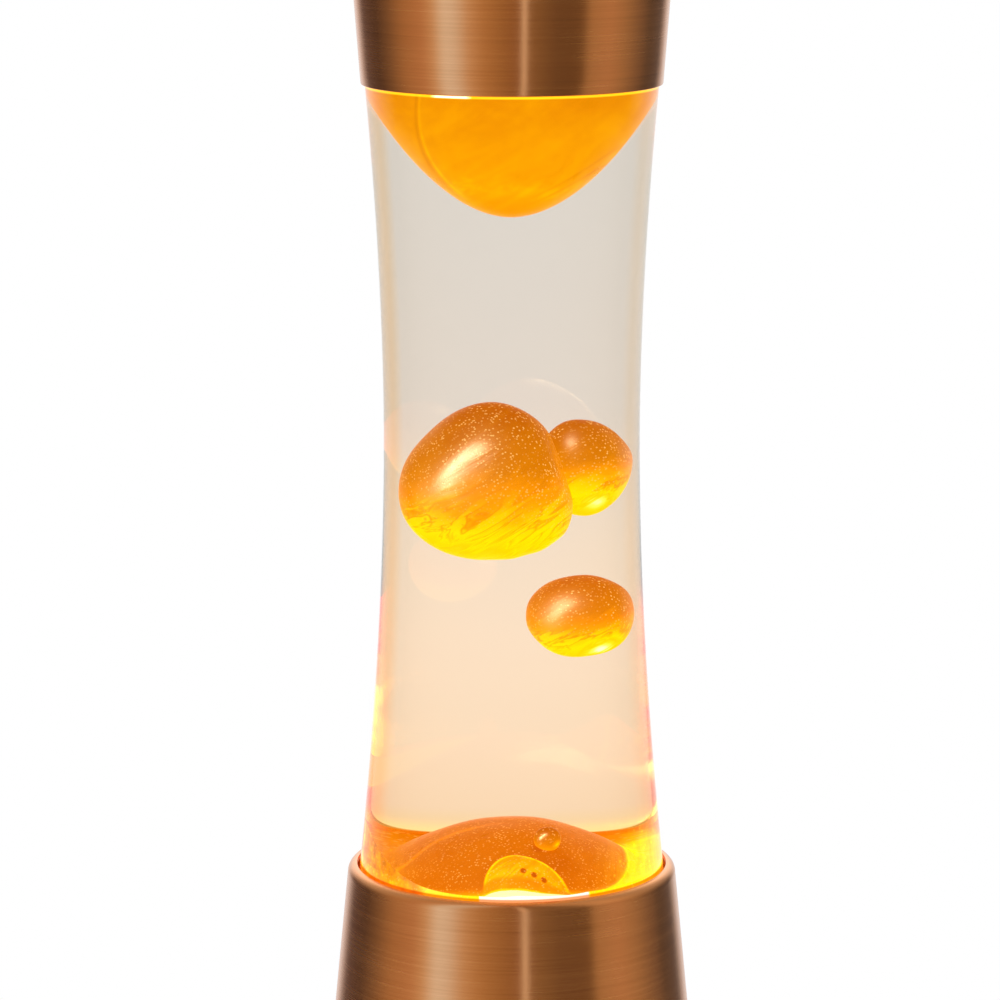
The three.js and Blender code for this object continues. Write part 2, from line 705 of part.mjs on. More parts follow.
function contentRadius(z) {
  return glassRadius(z) - GLASS_WALL - GAP;
}

const POOL_RADIUS = contentRadius(POOL_EDGE_Z);

function poolHeight(radius) {
  return POOL_APEX_Z - (POOL_APEX_Z - POOL_EDGE_Z) * (radius / POOL_RADIUS) ** POOL_POWER;
}

function domeHeight(radius) {
  return DOME_APEX_Z + DOME_DROP * (radius / DOME_RING) ** DOME_POWER;
}

function waxPool() {
  const low = BOTTLE_FLOOR_Z + GAP;
  const corner = BOTTLE_CORNER - GLASS_WALL;
  const surface = stations(0, POOL_RADIUS, 8).map((radius) => [radius, poolHeight(radius)]);
  const outline = [
    ...surface,
    [POOL_RADIUS, low + corner],
    [POOL_RADIUS - 1.2, low + 1.4],
    [POOL_RADIUS - corner, low],
    [COIL_CHANNEL.outer, low],
    [COIL_CHANNEL.outer, low + COIL_CHANNEL.height],
    [COIL_CHANNEL.inner, low + COIL_CHANNEL.height],
    [COIL_CHANNEL.inner, low],
    [0, low],
  ];
  return cut(revolve(outline), [well(BEAD, 0)]);
}

// A ring of coiled wire lies on the glass floor, in a channel under the wax.
function heatCoil() {
  const ringRadius = (COIL_CHANNEL.inner + COIL_CHANNEL.outer) / 2;
  const coilRadius = 3.6;
  const turns = 17;
  const pointsPerTurn = 5;
  const centreZ = BOTTLE_FLOOR_Z + coilRadius + 1;
  const share = 0.97; // the ring's ends stop short of each other
  const points = stations(0, 1, turns * pointsPerTurn).map((t) => {
    const around = 2 * Math.PI * share * t;
    const twist = 2 * Math.PI * turns * t;
    const radius = ringRadius + coilRadius * Math.cos(twist);
    return [radius * Math.cos(around), radius * Math.sin(around), centreZ + coilRadius * Math.sin(twist)];
  });
  return wire(points, 0.5, turns * pointsPerTurn, 4);
}

function waxDome() {
  const underside = stations(0, DOME_RADIUS, 6).map((radius) => [radius, domeHeight(radius)]);
  const wallClearance = GLASS_WALL + GAP;
  const edge = [DOME_RADIUS - 0.2, domeHeight(DOME_RADIUS) + 2.5];
  const topEdge = [NECK_RADIUS + 12 - wallClearance, DOME_TOP_Z];
  return revolve([...underside, edge, topEdge, [0, DOME_TOP_Z]]);
}

// An egg of wax: a sphere stretched to its half sizes and narrowed above its middle.
function egg({ centre, size }, narrowing = 0, segments = ROUND_MEDIUM) {
  const sphere = new THREE.SphereGeometry(1, segments, segments * 0.6);
  const skin = weld(sphere.rotateX(Math.PI / 2));
  const position = skin.attributes.position;
  for (let i = 0; i < position.count; i += 1) {
    const width = 1 - narrowing * Math.max(position.getZ(i), 0);
    position.setXY(i, position.getX(i) * width, position.getY(i) * width);
  }
  return skin.scale(...size).translate(...centre);
}

// The shaft in the liquid that a moving egg of wax rises through, from its lowest place upwards.
function well({ centre, size }, sink) {
  const [width, depth, height] = size.map((half) => half + WELL_GAP);
  const bowl = stations(-90, 0, 4).map((degrees) => {
    const angle = THREE.MathUtils.degToRad(degrees);
    return [Math.cos(angle), Math.sin(angle) * height];
  });
  bowl[0][0] = 0;
  const reach = DOME_TOP_Z - centre[2] + sink;
  const shaft = revolve([...bowl, [1, reach], [0, reach]], ROUND_MEDIUM);
  return shaft.scale(width, depth, 1).translate(centre[0], centre[1], centre[2] - sink);
}

function clearLiquid() {
  const bottom = stations(0, contentRadius(POOL_EDGE_Z + 1), LIQUID_RADIUS_STEPS);
  const top = stations(0, DOME_RADIUS, LIQUID_RADIUS_STEPS);
  const wall = stations(BASE_HEIGHT, SHOULDER_Z, HOURGLASS_STEPS).map((z) => [contentRadius(z), z]);
  const outline = [
    ...bottom.map((radius) => [radius, poolHeight(radius) + 2 * GAP]),
    ...wall,
    ...top.reverse().map((radius) => [radius, domeHeight(radius) - 2 * GAP]),
  ];
  const shafts = [LARGE_BLOB, UPPER_BLOB, LOWER_BLOB, BEAD].map((blob) => well(blob, blob.sink ?? 0));
  return cut(revolve(outline), shafts);
}

function upperBlob() {
  const grownSize = LARGE_BLOB.size.map((half) => half + GAP);
  return cut(egg(UPPER_BLOB), [egg({ centre: LARGE_BLOB.centre, size: grownSize })]);
}

// ---------------------------------------------------------------- cap

function topCap() {
  const edge = CAP_EDGE_RADIUS;
  const topZ = LAMP_HEIGHT - CAP_CORNER;
  const topRadius = edge + CAP_SLOPE * (topZ - CAP_EDGE_Z);
  const corner = topRadius - CAP_CORNER;
  const innerCorner = CAP_CORNER - CAP_WALL;
  const innerTopZ = LAMP_HEIGHT - CAP_TOP_THICKNESS;
  const outline = [
    [edge - CAP_WALL, CAP_EDGE_Z],
    [edge, CAP_EDGE_Z],
    ...arcPoints(corner, topZ, CAP_CORNER, 0, 90, 4),
    [0, LAMP_HEIGHT],
    [0, innerTopZ],
    [corner, innerTopZ],
    ...arcPoints(corner, innerTopZ - innerCorner, innerCorner, 60, 0, 2),
  ];
  return revolve(outline);
}

// ---------------------------------------------------------------- assembly

const lamp = new THREE.Group();
lamp.name = 'lava_lamp';

function add(name, material, geometry) {
  const skin = weld(geometry);
  skin.computeVertexNormals();
  const mesh = new THREE.Mesh(skin, material);
  mesh.name = name;
  lamp.add(mesh);
}

add('base_shell', copper, baseShell());
add('base_foot_ring', steel, baseFootRing());
add('bottle_seat_ring', steel, bottleSeatRing());
add('bottom_cover', steel, bottomCover());
coverScrewPlaces().forEach((place, i) => {
  add(`bottom_cover_screw_${i + 1}`, steel, risingScrew(place, COVER_Z - GAP, 8));
});
bearings(FOOT_COUNT, 45).forEach((degrees, i) => {
  add(`rubber_foot_${i + 1}`, rubber, rubberFoot(polar(FOOT_CIRCLE_RADIUS, degrees)));
});
add('cable_grommet', rubber, cableGrommet());
add('terminal_block', linerPlastic, terminalBlock());
POLES.forEach((x, i) => add(`terminal_screw_${i + 1}`, brass, terminalScrew(x)));
add('earth_lead', earthInsulation, earthLead());
add('live_lead', liveInsulation, supplyLead(POLES[1], -1.3));
add('neutral_lead', neutralInsulation, supplyLead(POLES[2], 1.3));
add('earth_ring_terminal', brass, earthRing());
add('earth_screw', steel, fallingScrew(EARTH_PLACE, BRACKET_TOP_Z + 1.4, 5));
add('lamp_holder_bracket', steel, holderBracket());
bracketScrewPlaces().forEach((place, i) => {
  add(`bracket_screw_${i + 1}`, steel, risingScrew(place, COVER_Z - GAP, 7));
});
add('holder_nipple', steel, holderNipple());
add('holder_nut', steel, holderNut());
add('lamp_holder_body', blackPlastic, lampHolderBody());
add('socket_thread_shell', brass, socketThreadShell());
add('socket_contact', brass, socketContact());

add('bulb_contact_tip', solder, bulbContactTip());
add('bulb_insulator', blackPlastic, bulbInsulator());
add('bulb_screw_cap', steel, bulbScrewCap());
add('bulb_envelope', glass, bulbEnvelope());
add('bulb_stem', glass, bulbStem());
add('bulb_filament', steel, bulbFilament());

add('glass_bottle', glass, glassBottle());
add('closure_liner', linerPlastic, closureLiner());
add('bottle_crown_cap', steel, bottleCrownCap());
add('clear_liquid', liquidClear, clearLiquid());
add('wax_pool', wax, waxPool());
add('heat_coil', steel, heatCoil());
add('wax_top_dome', wax, waxDome());
add('wax_blob_large', wax, egg(LARGE_BLOB, LARGE_BLOB_NARROWING));
add('wax_blob_upper', wax, upperBlob());
add('wax_blob_lower', wax, egg(LOWER_BLOB));
add('wax_bead', wax, egg(BEAD, 0, ROUND_SMALL));

add('top_cap', copper, topCap());

export default lamp;
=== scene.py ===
"""Looks for the lava lamp: brushed copper shells, a lit bottle of clear liquid, and orange wax.

Pieces are drawn in millimetres from the frame's boxes and turned into metres by the mesh builders.
"""

import json
import math

import bmesh
import bpy
from mathutils import Matrix, Vector, noise


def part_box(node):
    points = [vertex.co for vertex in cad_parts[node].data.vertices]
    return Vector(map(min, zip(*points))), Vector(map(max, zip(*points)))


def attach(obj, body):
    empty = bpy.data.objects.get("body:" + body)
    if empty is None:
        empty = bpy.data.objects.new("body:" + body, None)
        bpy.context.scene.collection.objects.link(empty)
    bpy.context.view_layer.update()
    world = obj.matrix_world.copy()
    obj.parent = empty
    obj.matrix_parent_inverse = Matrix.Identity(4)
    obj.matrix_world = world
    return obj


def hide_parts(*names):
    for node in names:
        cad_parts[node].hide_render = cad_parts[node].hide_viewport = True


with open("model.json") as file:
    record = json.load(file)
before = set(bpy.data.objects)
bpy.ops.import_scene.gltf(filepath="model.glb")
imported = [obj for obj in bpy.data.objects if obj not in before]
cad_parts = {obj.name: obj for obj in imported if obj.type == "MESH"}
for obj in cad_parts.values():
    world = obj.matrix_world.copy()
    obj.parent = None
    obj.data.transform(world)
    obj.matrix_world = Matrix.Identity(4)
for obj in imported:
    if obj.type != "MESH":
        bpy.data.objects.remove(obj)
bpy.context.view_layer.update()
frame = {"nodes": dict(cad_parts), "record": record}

# ---------------------------------------------------------------- driving values

MM = 0.001
ROUND = 192  # segments round the large turned pieces
ROUND_MEDIUM = 96
ROUND_SMALL = 48
ROUND_HOLE = 32
SHARP_ANGLE = math.radians(32)

# Camera
LENS = 155.8
SENSOR = 36
CAMERA_PLACE = (-0.003, -1.09, 0.4274)
CAMERA_PITCH = 10.5  # degrees below the horizon

# Shells
BASE_SLOPE = 0.0985
BASE_WALL = 1.2
LIP_INNER_RADIUS = 40.5
LIP_ROUND = 2.4
CAP_WALL = 0.7
CAP_CORNER = 5
CAP_EDGE_RADIUS = 38.1
CAP_TOP_WALL = 1.2
GROMMET_Z = 21
GROMMET_NECK = 4.6
GROMMET_BORE = 3.2
GROMMET_FLANGE = 6

# Bottle: a waist with two flares
WAIST_Z = 243
WAIST_RADIUS = 32.7
FLARE_POWER = 1.83
LOWER_FLARE = 6.7
UPPER_FLARE = 4.4
LIP_Z = 130
CAP_EDGE_Z = 332
GLASS_WALL = 2.6
FOOT_RADIUS = 39.6
BOTTLE_CORNER = 7
BOTTLE_FLOOR_Z = 110
SHOULDER_Z = 334
NECK_Z = 374
NECK_RADIUS = 13
BEAD_RADIUS = 13.6
CONTENT_GAP = 0.3

# Wax at the top and the bottom
POOL_EDGE_Z = 121.5
POOL_APEX_Z = 142.6
POOL_POWER = 2.2
POOL_SHELF_Z = 127.5  # thin wax round the mound
POOL_NARROWING = 1.3  # the mound is narrower across than from front to back
DOME_APEX_Z = 299.9
DOME_DROP = 28.8
DOME_RING = 26.8
DOME_POWER = 1.92
DOME_RADIUS = 30.4
OVERLAP = 0.5  # how far the liquid reaches into the wax, so that no air shows between them

# A small swelling at the pool's front: its place (x, y) and its reach to the left, the right and the back
HUMP_PLACE = (1.5, -28)
HUMP_SIZE = (8.5, 13, 9)
HUMP_RISE = 1.1
HUMP_SPOTS = [(2.6, -24.7), (5.1, -25.3), (7.4, -25.8)]
HUMP_SPOT_RADII = (0.35, 0.8)

# Swellings of the blobs: angle in the front view, share of the radius, and spread, in degrees
LARGE_SWELLINGS = [
    (140, -0.09, 30), (200, 0.135, 32), (266, -0.02, 24), (325, 0.125, 26), (16, -0.13, 24), (82, 0.055, 24),
]
UPPER_SWELLINGS = [(170, -0.12, 40), (300, 0.12, 36), (85, -0.05, 30), (30, -0.10, 34)]
LOWER_SWELLINGS = [(210, -0.02, 30), (322, 0.09, 30), (50, -0.07, 36), (100, -0.03, 30)]

# Refraction
GLASS_IOR = 1.5
LIQUID_IOR = 1.36
WAX_IOR = 1.15  # as met from the liquid
PLASTIC_IOR = 1.48


def extent(node):
    """Lowest and highest corner of a CAD node, in millimetres."""
    low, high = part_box(node)
    return low / MM, high / MM


def middle(node):
    """Centre and half size of a CAD node, in millimetres."""
    low, high = extent(node)
    return (low + high) / 2, (high - low) / 2


# ---------------------------------------------------------------- node building


class Nodes:
    """Short calls that add nodes to a tree."""

    def __init__(self, tree):
        self.tree = tree

    def link(self, value, socket):
        """Feeds a socket from another node, or sets it to a value."""
        if isinstance(value, bpy.types.NodeSocket):
            self.tree.links.new(value, socket)
        else:
            socket.default_value = value

    def add(self, kind, inputs=None, **settings):
        node = self.tree.nodes.new("ShaderNode" + kind)
        for key, value in settings.items():
            setattr(node, key, value)
        for key, value in (inputs or {}).items():
            self.link(value, node.inputs[key])
        return node

    def math(self, operation, first, second=0.0):
        return self.add("Math", {0: first, 1: second}, operation=operation).outputs[0]

    def plus(self, first, *others):
        for other in others:
            first = self.math("ADD", first, other)
        return first

    def times(self, first, *others):
        for other in others:
            first = self.math("MULTIPLY", first, other)
        return first

    def minus(self, first, second):
        return self.math("SUBTRACT", first, second)

    def off(self, value, centre):
        """Distance of a value from a centre."""
        return self.math("ABSOLUTE", self.minus(value, centre))

    def split(self, vector):
        return self.add("SeparateXYZ", {0: vector}).outputs

    def join(self, x, y, z=0.0):
        return self.add("CombineXYZ", {0: x, 1: y, 2: z}).outputs[0]

    def length(self, vector):
        return self.add("VectorMath", {0: vector}, operation="LENGTH").outputs["Value"]

    def distance(self, vector, place_mm):
        centre = [share * MM for share in place_mm]
        return self.add("VectorMath", {0: vector, 1: centre}, operation="DISTANCE").outputs["Value"]

    def span(self, value, low, high, out_low=0.0, out_high=1.0, smooth=False):
        inputs = {"Value": value, "From Min": low, "From Max": high, "To Min": out_low, "To Max": out_high}
        kind = "SMOOTHSTEP" if smooth else "LINEAR"
        return self.add("MapRange", inputs, interpolation_type=kind).outputs["Result"]

    def reach(self, value, low_mm, high_mm, out_low=0.0, out_high=1.0, smooth=False):
        """span() of a length, with its ends in millimetres."""
        return self.span(value, low_mm * MM, high_mm * MM, out_low, out_high, smooth)

    def ramp(self, value, stops):
        """Colour along value: stops are (position, (red, green, blue)) or (position, grey)."""
        node = self.add("ValToRGB", {0: value})
        elements = node.color_ramp.elements
        while len(elements) > 1:
            elements.remove(elements[-1])
        for i, (position, colour) in enumerate(stops):
            element = elements[0] if i == 0 else elements.new(position)
            element.position = position
            grey = isinstance(colour, (int, float))
            element.color = rgb(colour, colour, colour) if grey else rgb(*colour)
        return node.outputs["Color"]

    def blend(self, share, first, second, mode="MIX"):
        node = self.add("Mix", data_type="RGBA", blend_type=mode)
        sockets = [node.inputs[0], node.inputs[6], node.inputs[7]]
        for socket, value in zip(sockets, (share, first, second)):
            self.link(value, socket)
        return node.outputs[2]


class Shader(Nodes):
    """A material with a Principled shader, and short calls that add the nodes feeding it."""

    def __init__(self, name, **settings):
        self.material = bpy.data.materials.new(name)
        self.material.use_nodes = True
        super().__init__(self.material.node_tree)
        self.surface = self.tree.nodes["Principled BSDF"]
        self.output = self.tree.nodes["Material Output"]
        self.place = self.add("TexCoord").outputs["Object"]
        for socket, value in settings.items():
            self.set(socket.replace("_", " "), value)

    def set(self, socket, value):
        self.link(value, self.surface.inputs[socket])

    def finish_with(self, shader_socket):
        self.tree.links.new(shader_socket, self.output.inputs["Surface"])

    def stretched(self, x, y, z, vector=None):
        scale = self.add("VectorMath", {0: vector or self.place, 1: (x, y, z)}, operation="MULTIPLY")
        return scale.outputs[0]

    def noise(self, vector, scale=1.0, detail=3.0, roughness=0.5, distortion=0.0):
        inputs = {
            "Vector": vector, "Scale": scale, "Detail": detail, "Roughness": roughness,
            "Distortion": distortion,
        }
        return self.add("TexNoise", inputs).outputs["Fac"]

    def cells(self, vector, scale):
        return self.add("TexVoronoi", {"Vector": vector, "Scale": scale}).outputs["Distance"]

    def bump(self, height, depth_mm, strength=1.0):
        inputs = {"Height": height, "Distance": depth_mm * MM, "Strength": strength}
        return self.add("Bump", inputs).outputs["Normal"]

    def facing(self):
        return self.add("LayerWeight", {"Blend": 0.5}).outputs["Facing"]

    def upward(self):
        """How far the surface's own normal points up, -1 to 1."""
        return self.split(self.add("NewGeometry").outputs["Normal"])[2]

    def near(self, centre, reach):
        """1 at a point in space, falling smoothly to 0 at the reach. Lengths are in millimetres."""
        return self.reach(self.distance(self.place, centre), 0.0, reach, 1.0, 0.0, smooth=True)


def rgb(red, green, blue):
    return (red, green, blue, 1.0)


# ---------------------------------------------------------------- materials

COPPER_TONES = [(0.25, (0.71, 0.275, 0.080)), (0.5, (0.80, 0.32, 0.098)), (0.75, (0.88, 0.37, 0.122))]
WORN_COPPER = rgb(0.74, 0.36, 0.16)

# Glass, by how far it turns away from the eye: clear face-on, and warm towards the edges, which is painted
# lamplight carried in the glass
GLASS_TINTS_AND_EDGE_GLOW = [
    (0.0, (1.0, 1.0, 1.0)), (0.55, (1.0, 0.99, 0.97)), (0.8, (0.99, 0.93, 0.79)), (1.0, (0.97, 0.80, 0.48)),
]
GLASS_SHADOW = rgb(0.97, 0.96, 0.94)
# Painted shade: a dark red line in the glass just above the base's lip, where the two meet
LIP_PAINTED_SHADE = rgb(0.6, 0.09, 0.02)
LIP_PAINTED_SHADE_HEIGHTS = (LIP_Z + 0.35, LIP_Z + 0.75)
CARRIED_COLOURS = [(0.0, (1.0, 0.70, 0.02)), (1.0, (1.0, 0.95, 0.7))]

# The liquid, from the pool up to the dome: warm near the pool, which is painted lamplight, and greyer up
# high. Each surface carries half of the tint.
LIQUID_HEIGHTS = (125, 325)
LIQUID_TINTS_AND_LAMP_GLOW = [
    (0.0, (1.0, 0.80, 0.30)), (0.035, (1.0, 0.83, 0.50)), (0.065, (1.0, 0.855, 0.68)),
    (0.16, (1.02, 0.885, 0.735)), (0.3, (1.04, 0.91, 0.775)), (0.46, (1.0, 0.90, 0.79)),
    (0.62, (0.915, 0.86, 0.80)), (1.0, (0.882, 0.853, 0.812)),
]
LIQUID_HAZE = rgb(1.0, 0.95, 0.85)
# Painted lamplight at the liquid's sides, where it is seen edge-on
LIQUID_EDGE_GLOW = rgb(1.03, 0.925, 0.78)

# The wax, by how much lamplight it passes
WAX_GLOW = [
    (0.0, (0.50, 0.11, 0.0)), (0.16, (0.59, 0.165, 0.0)), (0.30, (0.66, 0.205, 0.0)),
    (0.40, (0.84, 0.285, 0.0)), (0.47, (0.96, 0.39, 0.0)), (0.56, (1.0, 0.66, 0.0)), (0.64, (1.0, 0.80, 0.0)),
    (0.74, (1.0, 0.66, 0.0)), (0.84, (1.0, 0.82, 0.01)), (0.92, (1.0, 1.0, 0.12)), (1.0, (1.0, 1.0, 0.9)),
]
WAX_REDDER = rgb(1.1, 0.66, 0.0)
WAX_STRENGTH = 1.22
WAX_BODY = rgb(0.10, 0.03, 0.0)
FLECK_BODY = rgb(0.5, 0.36, 0.14)
FLECK_GLOW = rgb(1.0, 0.66, 0.20)
STREAK_TILT = math.radians(38)

# Slots of the plain metals: colour, roughness, and how fine the grain is
METALS = {
    "zinc_steel": ((0.62, 0.63, 0.65), 0.34, 240.0),
    "tinned_steel": ((0.70, 0.70, 0.70), 0.26, 300.0),
    "screw_brass": ((0.78, 0.56, 0.24), 0.3, 300.0),
    "solder": ((0.5, 0.5, 0.51), 0.5, 300.0),
}

# Slots of the plastics and the rubber: colour and roughness
MOULDED = {
    "holder_plastic": ((0.02, 0.02, 0.022), 0.45),
    "pale_plastic": ((0.72, 0.70, 0.64), 0.5),
    "black_rubber": ((0.022, 0.022, 0.024), 0.8),
    "live_insulation": ((0.16, 0.055, 0.02), 0.4),
    "neutral_insulation": ((0.015, 0.06, 0.32), 0.4),
    "earth_insulation": ((0.12, 0.3, 0.02), 0.4),
}

# The bulb: silvered up to its shoulder, frosted and lit above it
BULB_FACE_HEIGHTS = (79.5, 81.5)
BULB_SILVER = rgb(0.82, 0.81, 0.78)
BULB_FROST = rgb(0.98, 0.9, 0.76)
BULB_LIGHT = rgb(1.0, 0.66, 0.3)
BULB_STRENGTH = 3.0


def copper_finish():
    """Copper-coloured lacquered metal, brushed round the axis."""
    s = Shader("copper_finish", Metallic=1.0, Anisotropic=0.9, Anisotropic_Rotation=0.25, Coat_Weight=0.2,
               Coat_Roughness=0.22)
    x, y, z = s.split(s.place)
    along = s.plus(z, s.length(s.join(x, y)))  # runs up the wall, and inwards on a flat top

    def lines(across, lengthwise):
        return s.join(s.times(x, across), s.times(y, across), s.times(along, lengthwise))

    fine = s.noise(lines(22.0, 2400.0), detail=2.0, roughness=0.6)
    broad = s.noise(lines(9.0, 420.0), detail=3.0, roughness=0.65)
    smudge = s.noise(s.place, scale=34.0, detail=4.0, roughness=0.55)
    brushing = s.plus(s.times(fine, 0.6), s.times(broad, 0.4))
    tone = s.ramp(brushing, COPPER_TONES)
    s.set("Base Color", s.blend(s.span(smudge, 0.55, 0.8, 0.0, 0.12), tone, WORN_COPPER))
    s.set("Roughness", s.plus(s.span(brushing, 0.3, 0.7, 0.2, 0.27), s.span(smudge, 0.4, 0.8, 0.0, 0.05)))
    s.set("Normal", s.bump(brushing, 0.012, 0.5))
    s.set("Tangent", s.add("Tangent", direction_type="RADIAL", axis="Z").outputs[0])
    return s.material


def shadow_passes(s, tint):
    """Lets light samples go through glass, as they really do."""
    light = s.add("LightPath").outputs["Is Shadow Ray"]
    clear = s.add("BsdfTransparent", {"Color": tint})
    s.finish_with(s.add("MixShader", {0: light, 1: s.surface.outputs[0], 2: clear.outputs[0]}).outputs[0])


def clear_glass(name, ior, glow=None, lip=False):
    """Thick glass, faintly wavy. Glow adds the lamplight that it carries, lip a red line of painted shade at
    the base.
    """
    s = Shader(name, Roughness=0.0, IOR=ior, Transmission_Weight=1.0)
    wave = s.noise(s.stretched(30.0, 30.0, 12.0), detail=1.0)
    s.set("Normal", s.bump(wave, 0.02, 0.15))
    # Painted light: the glass grows warm towards its edges, as if carrying lamplight.
    tint = s.ramp(s.facing(), GLASS_TINTS_AND_EDGE_GLOW)
    # Painted shade: the glass turns dark red just above the lip.
    if lip:
        tint = s.blend(s.reach(s.split(s.place)[2], *LIP_PAINTED_SHADE_HEIGHTS, 1.0, 0.0), tint, LIP_PAINTED_SHADE)
    s.set("Base Color", tint)
    if glow:
        glow(s)
    shadow_passes(s, GLASS_SHADOW)
    return s.material


def carried_light(s):
    """Lamplight inside the glass: strong just above the base and along the cap's edge."""
    x, y, z = s.split(s.place)
    low = s.reach(z, 126.2, 132.5, 1.0, 0.0, smooth=True)
    edge = s.times(s.reach(z, 331.1, 331.4), s.reach(z, 331.7, 332.0, 1.0, 0.0))
    hot_edge = s.times(edge, s.reach(s.off(x, -14.6 * MM), 3.5, 5.0, 1.0, 0.0))
    sparks = s.span(s.cells(s.place, 420.0), 0.10, 0.22, 1.0, 0.0)
    grain = s.noise(s.stretched(420.0, 420.0, 160.0), detail=3.0, roughness=0.6)
    right = s.times(s.reach(x, 20, 33), s.reach(z, 128, 152, 1.0, 0.0, smooth=True))
    left = s.times(s.reach(x, -22, -35), s.reach(z, 128, 150, 0.5, 0.0, smooth=True))
    rough_glow = s.times(s.plus(right, left), s.plus(s.span(grain, 0.4, 0.6, 0.35, 0.75), sparks))
    back = s.times(s.reach(y, 0, 12), s.reach(z, 131, 135, 0.25, 0.0, smooth=True))
    strength = s.plus(s.times(low, 0.35), s.times(rough_glow, 0.7), back, s.times(edge, 0.8), hot_edge)
    s.set("Emission Color", s.ramp(hot_edge, CARRIED_COLOURS))
    s.set("Emission Strength", strength)


def clear_liquid():
    """Clear liquid, with painted lamplight: warmer towards the lamp and at the bottle's sides."""
    s = Shader("clear_liquid")
    x, y, z = s.split(s.place)
    # Painted lamplight: the tint is warm near the pool and fades higher up.
    tint = s.ramp(s.reach(z, *LIQUID_HEIGHTS), LIQUID_TINTS_AND_LAMP_GLOW)
    haze = s.noise(s.stretched(90.0, 90.0, 50.0), detail=4.0)
    soft = s.blend(s.span(haze, 0.3, 0.8, 0.0, 0.03), tint, LIQUID_HAZE)
    # Painted light: the liquid warms where it is seen edge-on, less so at the right.
    edge = s.times(s.span(s.facing(), 0.26, 0.345, smooth=True), s.reach(x, -10, 10, 1.0, 0.4))
    soft = s.blend(edge, soft, LIQUID_EDGE_GLOW, mode="MULTIPLY")
    s.finish_with(s.add("BsdfTransparent", {"Color": soft}).outputs[0])
    s.tree.nodes.remove(s.surface)
    return s.material


def orange_wax(name, lit_of, streaks=1.0, flecks=1.0, roughness=0.3, redness=0.0):
    """Translucent wax lit from below. lit_of(shader) gives how much lamplight a point passes, 0 to 1."""
    s = Shader(name, IOR=WAX_IOR, Specular_IOR_Level=0.25)
    tilted = s.add("Mapping", {"Vector": s.place, "Rotation": (0, STREAK_TILT, 0)}).outputs[0]
    cloud = s.noise(s.place, scale=75.0, detail=4.0, roughness=0.55, distortion=0.5)
    swirl = s.noise(s.stretched(34.0, 60.0, 210.0, tilted), detail=3.0, roughness=0.55, distortion=1.6)
    fold = s.span(s.off(swirl, 0.5), 0.0, 0.045, 1.0, 0.0)
    lit = lit_of(s)
    # Painted shade along the folds, where the wax is bright low down.
    crease_shade = s.times(fold, s.span(lit, 0.4, 0.58, 0.0, 0.12 * streaks, smooth=True))
    lit = s.plus(lit, s.span(cloud, 0.3, 0.7, -0.03, 0.03))
    lit = s.plus(lit, s.span(swirl, 0.35, 0.7, -0.04 * streaks, 0.04 * streaks))
    lit = s.minus(lit, crease_shade)
    glow = s.ramp(lit, WAX_GLOW)
    if redness:
        glow = s.blend(s.span(lit, 0.32, 0.5, redness, 0.0), glow, WAX_REDDER, mode="MULTIPLY")
    dots = s.span(s.cells(s.place, 1250.0), 0.18, 0.34, 1.0, 0.0)
    patches = s.span(s.noise(s.place, scale=260.0, detail=2.0), 0.38, 0.58, 0.12 * flecks, 0.55 * flecks)
    dots = s.times(dots, patches, s.span(s.upward(), -0.45, 0.25))
    s.set("Base Color", s.blend(dots, WAX_BODY, FLECK_BODY))
    s.set("Emission Color", s.blend(dots, glow, FLECK_GLOW))
    s.set("Emission Strength", WAX_STRENGTH)
    ripple = s.plus(s.times(swirl, 0.7), s.times(cloud, 0.3))
    s.set("Normal", s.bump(ripple, 0.45 * streaks + 0.05, 0.35))
    s.set("Roughness", s.span(cloud, 0.3, 0.7, roughness - 0.05, roughness + 0.05))
    return s.material


def blob_light(low, high, hot=None, shade=None, strength=1.0):
    """Light through a floating blob: dull above, bright low down, with one hot and one shaded place."""

    def lit_of(s):
        height = s.reach(s.split(s.place)[2], low, high, 0.80, 0.0)
        under = s.span(s.upward(), -1.0, 1.0, 0.80, 0.0)
        lit = s.plus(s.times(height, 0.78), s.times(under, 0.22))
        if hot:
            lit = s.plus(lit, s.times(s.near(*hot), 0.3))
        if shade:
            lit = s.minus(lit, s.times(s.near(*shade), 0.25))
        return s.times(lit, strength)

    return lit_of


def ring_line(s, x, z, centre, radius, width):
    """1 on a thin circle in the front view. Lengths are in millimetres."""
    away = s.length(s.join(s.minus(x, centre[0] * MM), 0.0, s.minus(z, centre[1] * MM)))
    return s.reach(s.off(away, radius * MM), 0.0, width, 1.0, 0.0)


def dome_light(s):
    """The wax under the cap: even, redder at its outline, with flow lines at its left and low right, painted
    as pale and shaded lines.
    """
    x, y, z = s.split(s.place)
    wall = s.reach(s.length(s.join(x, y)), 14, 28, 0.0, -0.08)
    tip = s.reach(z, DOME_APEX_Z, DOME_APEX_Z + 8, -0.045, 0.0)
    # Painted light and shade of a flow line: a pale line beside a shaded one.
    left_centre = (14, 331)
    lines = s.minus(ring_line(s, x, z, left_centre, 34.6, 0.35), ring_line(s, x, z, left_centre, 35.3, 0.45))
    lines = s.times(lines, s.reach(x, -4, -10), s.reach(z, 302, 312, 0.0, 0.8))
    # Painted shade along two folds.
    right_centre = (-30, 372)
    fold_shade = s.plus(ring_line(s, x, z, right_centre, 74.6, 0.5), ring_line(s, x, z, right_centre, 76.0, 0.35))
    fold_shade = s.times(fold_shade, s.reach(x, 2, 8, 0.0, 0.6))
    return s.plus(tip, wall, 0.482, s.times(s.minus(lines, fold_shade), 0.07))


